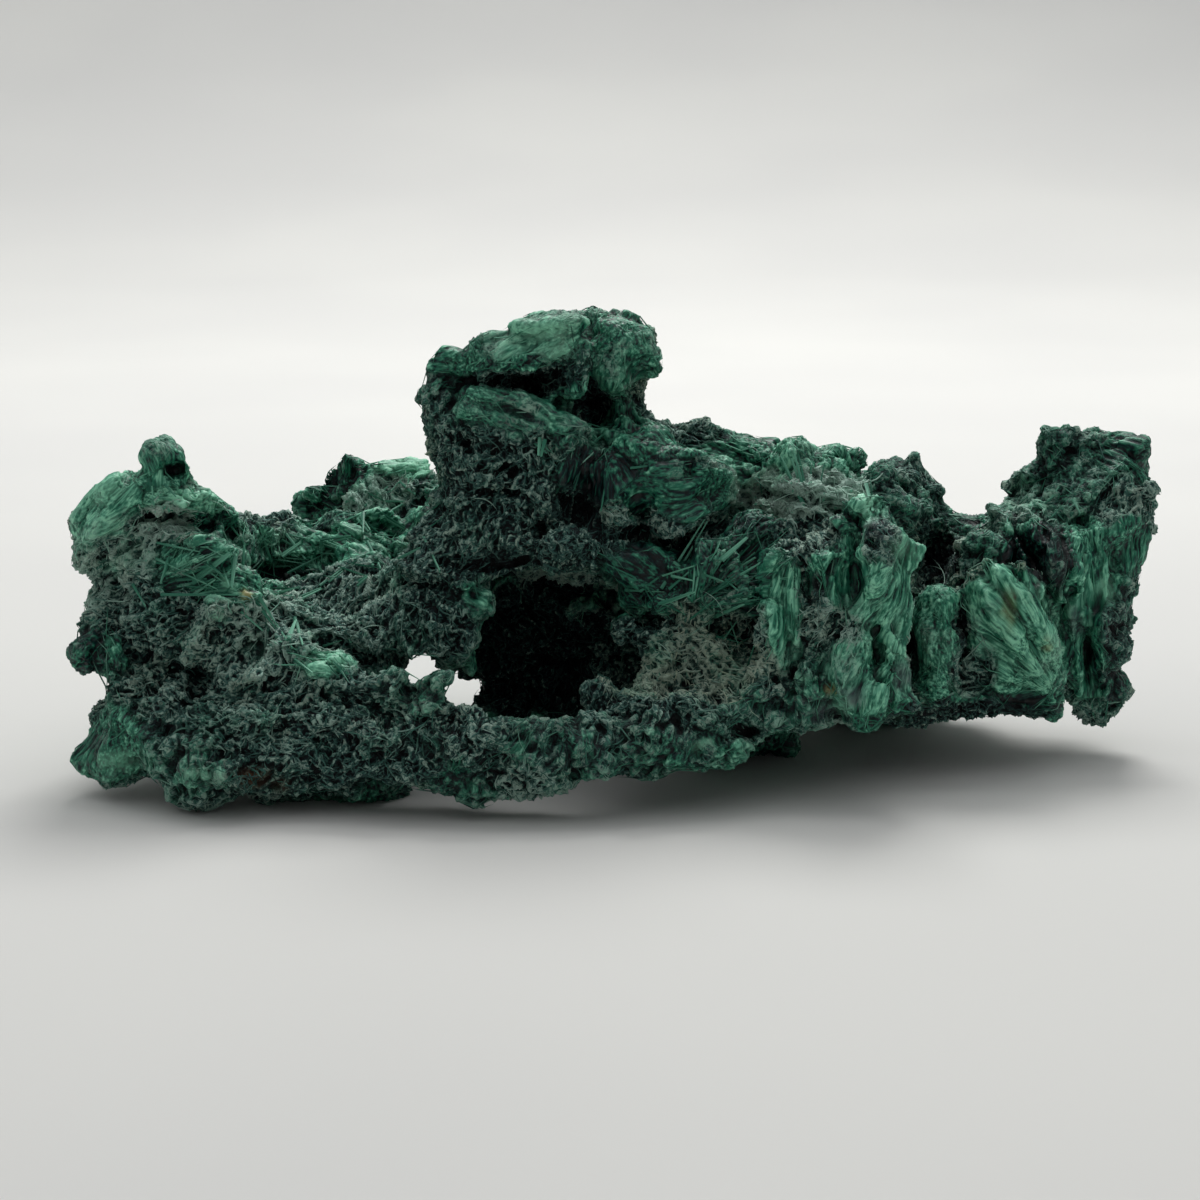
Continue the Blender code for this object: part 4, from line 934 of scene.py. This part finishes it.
needles = {
    # single ones: the pixels they run between, thickness in mm, height over the skin in mm
    "single": [
        (208, 539, 238, 540, 0.3, 0.5), (195, 581, 231, 553, 0.36, 0.7), (235, 554, 232, 588, 0.4, 0.6),
        (224, 566, 230, 585, 0.3, 0.5), (164, 597, 240, 596, 0.28, 0.4), (255, 594, 277, 627, 0.4, 0.7),
        (276, 625, 292, 647, 0.32, 0.5), (286, 639, 295, 620, 0.36, 0.8), (295, 620, 302, 644, 0.34, 0.8),
        (336, 558, 352, 613, 0.42, 0.7), (322, 543, 387, 572, 0.3, 0.6), (368, 543, 381, 569, 0.3, 0.5),
        (360, 585, 369, 576, 0.28, 0.4), (134, 584, 145, 605, 0.3, 0.4), (372, 523, 402, 505, 0.32, 0.6),
        (376, 510, 405, 528, 0.3, 0.6), (358, 518, 369, 531, 0.3, 0.5), (363, 514, 363, 534, 0.34, 0.7),
        (399, 484, 415, 495, 0.3, 0.5), (313, 559, 316, 548, 0.3, 0.6), (320, 541, 351, 536, 0.26, 0.5),
        (543, 438, 540, 456, 0.36, 0.9), (536, 440, 548, 452, 0.22, 0.5), (616, 522, 636, 519, 0.3, 0.5),
        (660, 602, 694, 591, 0.3, 0.6), (708, 605, 746, 600, 0.32, 0.6), (715, 616, 744, 604, 0.28, 0.6),
        (709, 594, 760, 563, 0.3, 0.6), (713, 583, 755, 557, 0.28, 0.5), (700, 548, 694, 594, 0.26, 0.5),
        (722, 557, 748, 536, 0.34, 0.7), (168, 560, 160, 583, 0.28, 0.5), (176, 566, 204, 556, 0.3, 0.6),
        (240, 610, 262, 630, 0.24, 0.4), (303, 560, 292, 588, 0.3, 0.5), (424, 540, 440, 572, 0.24, 0.4),
        (398, 560, 420, 548, 0.22, 0.4), (868, 486, 874, 512, 0.3, 0.5), (190, 592, 214, 578, 0.26, 0.5),
        (246, 566, 262, 548, 0.28, 0.5), (280, 556, 300, 542, 0.26, 0.5), (296, 600, 322, 588, 0.24, 0.4),
        (630, 470, 690, 462, 0.22, 0.3), (640, 590, 680, 560, 0.26, 0.5), (664, 590, 706, 520, 0.3, 0.6),
    ],
    # stray pale hairs: the pixels they run between, height over the skin in mm
    "hairs": [
        (650, 640, 672, 668, 1.4), (655, 624, 640, 650, 1.2), (700, 590, 722, 628, 1.4),
        (560, 520, 548, 536, 0.9), (930, 556, 940, 590, 1.2), (926, 566, 944, 574, 1.0),
        (470, 500, 498, 512, 0.8), (820, 500, 846, 494, 0.7), (208, 500, 232, 520, 0.8),
        (352, 640, 388, 628, 0.8), (604, 300, 610, 318, 0.5), (748, 446, 760, 462, 0.7),
    ],
    "hairThick": 0.07,
    "tone": (0.4, 0.95),
    "flat": 0.55,  # of the thickness
    "blunt": (0.15, 0.6),
    "starts": (0.1, 0.45),  # shares of a sheaf's blade where its loose needles start and end
    "ends": (0.6, 1.08),
    "gap": 0.9,  # farthest that a loose blade may be from the skin, and how much deeper one end may lie
    "slope": 2.4,
    "far": {"single": 6.0, "sheaf": 5.0},
}

# loose blades across each other: pixel centre, half size in pixels, number, lengths and thicknesses in mm
tangles = rows("at2 half2 count length2 thick2", [
    (232, 560, 66, 34, 46, 1.4, 4.2, 0.12, 0.26), (318, 560, 60, 34, 52, 1.6, 5.0, 0.14, 0.34),
    (395, 520, 44, 30, 40, 1.4, 4.0, 0.14, 0.3), (330, 655, 34, 24, 14, 1.4, 3.0, 0.14, 0.3),
    (690, 590, 50, 22, 20, 1.6, 4.0, 0.14, 0.3), (750, 640, 26, 24, 16, 1.4, 3.2, 0.12, 0.26),
    (180, 500, 36, 12, 16, 1.2, 2.6, 0.12, 0.26), (1040, 500, 40, 20, 14, 1.0, 2.2, 0.12, 0.24),
])


def wayAt(angle):
    return np.array((math.cos(angle), math.sin(angle)))


def onSkin(tree, x, y, lift):  # the point of the finished skin under a pixel, moved towards the camera
    ray = pixelRay(x, y)
    hit = tree.ray_cast(Vector(eye), Vector(ray))
    place = np.array(hit[0]) if hit[0] else onStone(x, y)
    return place - ray * lift


def growNeedles(tree):
    chance = random.Random(seeds["needles"])
    form = bmesh.new()
    layers = {label: form.verts.layers.float.new(label) for label in ("tone", "crust", "brown", "along")}

    def addNeedle(root, tip, thick, face, tone):
        way = (tip - root) / (np.linalg.norm(tip - root) ** 2)
        blunt = chance.uniform(*needles["blunt"])
        for vert in addBlade(form, root, tip, thick, thick * needles["flat"], face, blunt, sides=5):
            vert[layers["tone"]] = tone
            vert[layers["crust"]] = 0.1
            vert[layers["along"]] = float(np.clip((np.array(vert.co) - root) @ way, 0, 1))

    def lies(start, end):  # whether a blade stays near the skin, and bridges no open air
        for share in (0.3, 0.5, 0.7):
            if tree.find_nearest(Vector(start * (1 - share) + end * share))[3] > needles["gap"]:
                return False
        return abs((end - start) @ eyeAhead) < needles["slope"]

    for *ends, thick, lift in needles["single"]:
        root = onSkin(tree, *ends[:2], -0.1)
        tip = onSkin(tree, *ends[2:], lift)
        deeper = (tip - root) @ eyeAhead
        if abs(deeper) > needles["far"]["single"]:
            tip = tip - eyeAhead * deeper
        for _ in range(2):
            jitter = 0.25 * anyWay(chance)
            addNeedle(root + jitter, tip + jitter * 0.5, thick, -eyeAhead, chance.uniform(*needles["tone"]))
    for sheaf in sheaves:
        root = onSkin(tree, *sheaf["root"], -0.2)
        for _ in range(sheaf["loose"]):
            share = chance.random()
            start = sheafTip(sheaf, share, chance.uniform(*needles["starts"]))
            start = onSkin(tree, *start, -0.15)
            end = sheafTip(sheaf, share, chance.uniform(*needles["ends"]))
            end = onSkin(tree, *end, chance.uniform(0.15, 0.7))
            if abs((end - root) @ eyeAhead) > needles["far"]["sheaf"] or not lies(start, end):
                continue
            face = -eyeAhead + 0.6 * anyWay(chance)
            thick = min(sheaf["width"], 0.8) * chance.uniform(0.22, 0.5)
            addNeedle(start, end, thick, face, sheaf["tone"] + chance.uniform(-0.3, 0.3))
    for tangle in tangles:
        for _ in range(tangle["count"]):
            angle = chance.uniform(0, 2 * math.pi)
            out = chance.random() ** 0.5
            centre = np.array(tangle["at"]) + out * np.array(tangle["half"]) * wayAt(angle)
            turn = chance.gauss(0.0, 0.9)
            reach = 0.5 * chance.uniform(*tangle["length"]) * pixelsPerMm * wayAt(turn)
            start = onSkin(tree, *(centre - reach), chance.uniform(-0.1, 0.3))
            end = onSkin(tree, *(centre + reach), chance.uniform(-0.1, 0.5))
            if lies(start, end):
                face = -eyeAhead + 0.8 * anyWay(chance)
                addNeedle(start, end, chance.uniform(*tangle["thick"]), face, chance.uniform(0.25, 1.0))
    bmesh.ops.recalc_face_normals(form, faces=form.faces[:])
    mesh = writeMesh(form, bpy.data.meshes.new("needles"))
    print("needles", len(mesh.polygons), "faces")
    return newObject("needles", mesh)


def layHairs(tree):
    lines = []
    for *ends, lift in needles["hairs"]:
        root = onSkin(tree, *ends[:2], 0.0)
        tip = onSkin(tree, *ends[2:], lift * 0.6)
        side = np.cross(tip - root, eyeAhead) * 0.2 - eyeAhead * lift
        shares = np.linspace(0, 1, 9)[:, None]
        lines.append(root * (1 - shares) + tip * shares + side * 4 * shares * (1 - shares))
    mesh = tubes("strayHairs", lines, [needles["hairThick"]] * len(lines))
    for label, value in (("tone", 1.0), ("crust", 0.8), ("brown", 0.0), ("along", 1.0)):
        setAttribute(mesh, label, np.full(len(mesh.vertices), value))
    return newObject("strayHairs", closeTubes(mesh))


# materials


def hexColour(text):  # sRGB hex to a linear colour
    parts = [int(text[start:start + 2], 16) / 255 for start in (1, 3, 5)]
    return [part / 12.92 if part <= 0.04045 else ((part + 0.055) / 1.055) ** 2.4 for part in parts] + [1.0]


def addNode(tree, kind, settings=(), links=()):
    # settings give a socket or property its value, links give a socket another node's output
    node = tree.nodes.new(kind)
    for key, value in dict(settings).items():
        if isinstance(key, str) and hasattr(node, key):
            setattr(node, key, value)
        else:
            node.inputs[key].default_value = value
    for key, output in dict(links).items():
        tree.links.new(output, node.inputs[key])
    return node


def emptyMaterial(name):
    material = bpy.data.materials.new(name)
    material.use_nodes = True
    tree = material.node_tree
    tree.nodes.clear()
    return material, tree


def addShader(tree, settings, links):
    shader = addNode(tree, "ShaderNodeBsdfPrincipled", settings, links)
    addNode(tree, "ShaderNodeOutputMaterial", {}, {"Surface": shader.outputs[0]})


def fillSockets(tree, sockets, values):  # a value is a number, a colour or another node's output
    for socket, value in zip(sockets, values):
        if isinstance(value, (int, float, list, tuple)):
            socket.default_value = value
        else:
            tree.links.new(value, socket)


def surfaceValue(tree, name, output="Fac"):
    return addNode(tree, "ShaderNodeAttribute", {"attribute_name": name}).outputs[output]


def objectPlace(tree):
    return addNode(tree, "ShaderNodeTexCoord").outputs["Object"]


def waves(tree, place, scale, detail, distortion=0.0):
    settings = {"Scale": scale, "Detail": detail, "Distortion": distortion}
    return addNode(tree, "ShaderNodeTexNoise", settings, {"Vector": place}).outputs["Fac"]


def rampNode(tree, factor, stops):
    node = addNode(tree, "ShaderNodeValToRGB", {}, {0: factor})
    node.color_ramp.interpolation = "EASE"
    for element, (position, colour) in zip(node.color_ramp.elements, (stops[0], stops[-1])):
        element.position = position
        element.color = colour
    for position, colour in stops[1:-1]:
        node.color_ramp.elements.new(position).color = colour
    return node.outputs[0]


def maskNode(tree, factor, low, high):
    return rampNode(tree, factor, [(low, [0, 0, 0, 1]), (high, [1, 1, 1, 1])])


def mixColour(tree, share, first, second, blend="MIX"):
    node = addNode(tree, "ShaderNodeMix", {"data_type": "RGBA", "blend_type": blend})
    colours = [socket for socket in node.inputs if socket.type == "RGBA"]
    fillSockets(tree, (node.inputs[0], *colours), (share, first, second))
    return [socket for socket in node.outputs if socket.type == "RGBA"][0]


def arithmetic(tree, operation, first, second=0.5, clamp=False):
    node = addNode(tree, "ShaderNodeMath", {"operation": operation, "use_clamp": clamp})
    fillSockets(tree, node.inputs, (first, second))
    return node.outputs[0]


def weighted(tree, terms, offset=0.0, clamp=False):  # the sum of outputs times their weights, and an offset
    total = None
    for value, weight in terms:
        part = arithmetic(tree, "MULTIPLY", value, weight)
        total = part if total is None else arithmetic(tree, "ADD", total, part)
    return arithmetic(tree, "ADD", total, offset, clamp)


malachite = {name: hexColour(text) for name, text in {
    "silkDeep": "#042729",
    "silk": "#2b795f",
    "silkPale": "#6cb899",
    "mint": "#93dcb9",
    "crustDeep": "#061e22",
    "crust": "#406d64",
    "crustPale": "#a7c6b8",
    # painted shade at the bottom of gaps and hollows
    "creviceShade": "#02090c",
    "rust": "#5b3a1d",
    "ochre": "#a3965c",
    "mauve": "#565560",
    # painted shade for pits
    "pitShade": "#020a0f",
}.items()}

look = {
    # streaks 0.5 and 0.2 mm apart along the fibres; real fibres are 0.02 to 0.1 mm, too fine to show
    "streaks": ((1.9, 2.0), (4.6, 3.0)),
    # waves per metre: worms of the crust 0.35 mm thick, clouds of weathering, grit, pale tips 0.4 mm wide
    "waves": ((1500.0, 3.0, 0.9), (260.0, 3.0), (5200.0, 2.0), (2400.0, 1.0)),
    "warmth": [1.25, 0.98, 0.86, 1.0],  # what brown crust multiplies its colour by
    "ior": 1.66,
    "bump": {"Strength": 0.85, "Distance": 0.22 * mm},
}


def fibrousMalachite():
    # fibrous malachite, grown as sheaves of silky needles under a crust of matted, weathered fibre:
    # deep green with pale streaks along the fibres, dull grey-green on the crust; painted shade makes gaps
    # and hollows near black and painted highlights pale the ridges
    material, tree = emptyMaterial("fibrousMalachite")
    place = objectPlace(tree)
    grain = surfaceValue(tree, "grain", "Vector")
    crust = surfaceValue(tree, "crust")
    tone = surfaceValue(tree, "tone")
    proud = surfaceValue(tree, "proud")
    stands = surfaceValue(tree, "stands")
    wide, thin = (waves(tree, grain, *form) for form in look["streaks"])
    worm, cloud, grit, speck = (waves(tree, place, *form) for form in look["waves"])

    # proud and stands paint shade into hollows, down to creviceShade, and highlights onto ridges, up to mint
    terms = (tone, 0.6), (wide, 1.1), (thin, 1.7), (proud, 1.2), (stands, 0.35)
    shade = weighted(tree, terms, -1.24, True)
    silk = rampNode(tree, shade, [
        (0.0, malachite["creviceShade"]), (0.2, malachite["silkDeep"]), (0.55, malachite["silk"]),
        (0.85, malachite["silkPale"]), (1.0, malachite["mint"]),
    ])
    ridge = arithmetic(tree, "ABSOLUTE", arithmetic(tree, "SUBTRACT", worm, 0.5))
    ridge = arithmetic(tree, "SUBTRACT", 1.0, arithmetic(tree, "MULTIPLY", ridge, 9.0), True)
    # proud and stands paint shade into the gaps, down to creviceShade, and highlights onto raised threads
    terms = (tone, 0.55), (ridge, 0.62), (proud, 2.7), (stands, 0.4), (cloud, 0.5)
    shade = weighted(tree, terms, -0.22, True)
    matted = rampNode(tree, shade, [
        (0.0, malachite["creviceShade"]), (0.25, malachite["crustDeep"]), (0.6, malachite["crust"]),
        (1.0, malachite["crustPale"]),
    ])
    brown = surfaceValue(tree, "brown")
    warm = weighted(tree, ((maskNode(tree, cloud, 0.42, 0.62), 0.22), (brown, 0.45)), 0.0, True)
    matted = mixColour(tree, warm, matted, mixColour(tree, 1.0, matted, look["warmth"], "MULTIPLY"))
    base = mixColour(tree, crust, silk, matted)
    tips = arithmetic(tree, "ADD", proud, 0.12, True)
    tips = arithmetic(tree, "MULTIPLY", maskNode(tree, speck, 0.62, 0.72), tips)
    tips = arithmetic(tree, "MULTIPLY", tips, arithmetic(tree, "MULTIPLY", tone, 3.2), True)
    base = mixColour(tree, tips, base, malachite["silkPale"])
    streak = weighted(tree, ((wide, 0.5), (thin, 0.5)), 0.35)
    # spot colours, and pitShade, which paints shade into pits
    for name in spots:
        strength = arithmetic(tree, "MULTIPLY", surfaceValue(tree, name), streak, True)
        base = mixColour(tree, strength, base, malachite[name])
    # painted shade: hollows and low places darkened towards near black
    dark = rampNode(tree, weighted(tree, ((proud, 1.6), (stands, 1.0)), 0.62, True), [
        (0.0, [0.08, 0.09, 0.09, 1]), (0.45, [0.6, 0.62, 0.62, 1]), (0.7, [1, 1, 1, 1]),
    ])
    base = mixColour(tree, 1.0, base, dark, "MULTIPLY")

    roughness = weighted(tree, ((crust, 0.36), (thin, 0.3)), 0.27, True)
    silkHeight = weighted(tree, ((wide, 0.6), (thin, 0.6)))
    crustHeight = weighted(tree, ((ridge, 1.0), (grit, 0.6)))
    heights = {0: crust, 2: silkHeight, 3: crustHeight}
    height = addNode(tree, "ShaderNodeMix", {"data_type": "FLOAT"}, heights).outputs[0]
    bump = addNode(tree, "ShaderNodeBump", look["bump"], {"Height": height}).outputs[0]
    links = {"Base Color": base, "Roughness": roughness, "Normal": bump}
    addShader(tree, {"IOR": look["ior"], "Specular IOR Level": 0.2}, links)
    return material


def malachiteThread():
    # single threads of fibrous malachite: grey-green and dull where weathered, silky green where fresh,
    # dark at the root and pale at the tip
    material, tree = emptyMaterial("malachiteThread")
    terms = (surfaceValue(tree, "along"), 0.3), (surfaceValue(tree, "tone"), 0.75)
    shade = weighted(tree, terms, 0.0, True)
    dull = rampNode(tree, shade, [
        (0.0, malachite["crustDeep"]), (0.4, malachite["crust"]), (1.0, malachite["crustPale"]),
    ])
    fresh = rampNode(tree, shade, [
        (0.0, malachite["silkDeep"]), (0.45, malachite["silk"]), (1.0, malachite["silkPale"]),
    ])
    browned = mixColour(tree, 1.0, dull, look["warmth"], "MULTIPLY")
    dull = mixColour(tree, surfaceValue(tree, "brown"), dull, browned)
    base = mixColour(tree, surfaceValue(tree, "crust"), fresh, dull)
    settings = {"IOR": look["ior"], "Specular IOR Level": 0.25, "Roughness": 0.55}
    addShader(tree, settings, {"Base Color": base})
    return material


# the skin in closed pieces

cuts = {
    "names": ("leftEnd", "leftMass", "saddle", "tower", "centre", "rightMass", "curtain", "column"),
    "at": (-33.0, -22.5, -12.0, -2.0, 7.5, 17.5, 29.0),  # mm along X, inside the stone
}


def slicePiece(whole, name, low, high):
    piece = bmesh.new()
    piece.from_mesh(whole)
    for at, keepAbove in ((low, True), (high, False)):
        if at is None:
            continue
        cut = bmesh.ops.bisect_plane(
            piece, geom=piece.verts[:] + piece.edges[:] + piece.faces[:], dist=weld,
            plane_co=(at, 0, 0), plane_no=(1, 0, 0), clear_inner=keepAbove, clear_outer=not keepAbove,
        )
        rim = [item for item in cut["geom_cut"] if isinstance(item, bmesh.types.BMEdge)]
        before = set(piece.faces)
        bmesh.ops.triangle_fill(piece, edges=rim, use_beauty=False, normal=(-1 if keepAbove else 1, 0, 0))
        for face in piece.faces:
            face.smooth = face in before
        for edge in rim:
            edge.smooth = False
    return newObject(name, writeMesh(piece, bpy.data.meshes.new(name)))


def finishPiece(piece, material):
    piece.data.materials.append(material)
    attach(piece, "root")
    return piece


# floor, light and camera

stage = {
    "paper": "#e2e2df",
    "paperShade": "#dcdcda",
    "size": 3000.0,
    "behind": 320.0,  # mm behind the stone where the paper starts to rise
    "bend": 700.0,
    "steps": 12,
}


def paleSweep():  # floor that bends up into a wall behind
    sweep = bmesh.new()
    half, behind, bend = stage["size"] / 2, stage["behind"], stage["bend"]
    profile = [(-half, 0)]
    for step in range(stage["steps"] + 1):
        angle = math.radians(90 * step / stage["steps"])
        profile.append((behind + bend * math.sin(angle), bend * (1 - math.cos(angle))))
    profile.append((behind + bend, stage["size"]))
    line = [sweep.verts.new((-half, *point)) for point in profile]
    edges = [sweep.edges.new(pair) for pair in zip(line, line[1:])]
    wide = bmesh.ops.extrude_edge_only(sweep, edges=edges)["geom"]
    moved = [item for item in wide if isinstance(item, bmesh.types.BMVert)]
    bmesh.ops.translate(sweep, vec=(stage["size"], 0, 0), verts=moved)
    bmesh.ops.recalc_face_normals(sweep, faces=sweep.faces[:])
    for face in sweep.faces:
        face.smooth = True
    floor = newObject("floor", writeMesh(sweep, bpy.data.meshes.new("floor")))
    material, tree = emptyMaterial("matPaper")  # matt white paper
    mottle = waves(tree, objectPlace(tree), 9.0, 2.0)
    tint = rampNode(tree, mottle, [(0.3, hexColour(stage["paperShade"])), (0.7, hexColour(stage["paper"]))])
    addShader(tree, {"Roughness": 0.75, "Specular IOR Level": 0.25}, {"Base Color": tint})
    floor.data.materials.append(material)


lights = [
    # mm: where each lamp stands and what it looks at; power in watts
    {
        "name": "overhead", "from": (40, 310, 420), "at": (0, 0, 10), "size": 220.0, "power": 1.5,
        "colour": (1.0, 0.99, 0.97),
    },
    {
        "name": "wallWash", "from": (0, 420, 1000), "at": (0, 980, 300), "size": 900.0, "power": 3.4,
        "colour": (1.0, 1.0, 0.99),
    },
]

room = {
    # light of the white room: bright overhead, dim in front
    "towards": (0.0, 0.47, 0.88),
    "dim": 0.09,
    "bright": 0.68,
    "tint": (0.97, 0.985, 1.0, 1.0),
}


def softLight():
    world = bpy.data.worlds.new("softRoom")
    bpy.context.scene.world = world
    world.use_nodes = True
    tree = world.node_tree
    way = addNode(tree, "ShaderNodeTexCoord").outputs["Generated"]
    lift = addNode(tree, "ShaderNodeVectorMath", {"operation": "DOT_PRODUCT", 1: room["towards"]}, {0: way})
    amount = addNode(
        tree, "ShaderNodeMapRange",
        {"From Min": -0.2, "From Max": 0.9, "To Min": room["dim"], "To Max": room["bright"]},
        {"Value": lift.outputs["Value"]},
    ).outputs[0]
    fillSockets(tree, tree.nodes["Background"].inputs, (room["tint"], amount))
    for light in lights:
        lamp = bpy.data.lights.new(light["name"], "AREA")
        lamp.size = light["size"] * mm
        lamp.energy = light["power"]
        lamp.color = light["colour"]
        holder = newObject(light["name"], lamp)
        holder.location = Vector(light["from"]) * mm
        gaze = Vector(light["at"]) - Vector(light["from"])
        holder.rotation_euler = gaze.to_track_quat("-Z", "Y").to_euler()
    bpy.context.scene.view_settings.view_transform = "Standard"
    bpy.context.scene.view_settings.look = "None"


def photoView():
    camera = bpy.data.cameras.new("photoView")
    camera.lens = photo["lens"]
    camera.sensor_width = photo["sensor"]
    camera.clip_start = 0.01
    holder = newObject("photoView", camera)
    holder.location = Vector(eye) * mm
    holder.rotation_euler = Vector(eyeAhead).to_track_quat("-Z", "Y").to_euler()
    bpy.context.scene.camera = holder


def main():
    whole, surface = dressStone()
    skinItem = newObject("wholeSkin", whole)
    tree = BVHTree.FromObject(skinItem, bpy.context.evaluated_depsgraph_get())
    stone = fibrousMalachite()
    thread = malachiteThread()
    for piece in growStrands("crust", surface, tree) + growStrands("silk", surface, tree):
        finishPiece(piece, thread)
    finishPiece(growNeedles(tree), thread)
    finishPiece(layHairs(tree), thread)
    bpy.data.objects.remove(skinItem)
    limits = (None, *cuts["at"], None)
    for name, low, high in zip(cuts["names"], limits, limits[1:]):
        piece = finishPiece(slicePiece(whole, name, low, high), stone)
        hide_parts("malachite")
        print(name, sum(len(face.vertices) - 2 for face in piece.data.polygons), "triangles")
    paleSweep()
    softLight()
    photoView()


main()
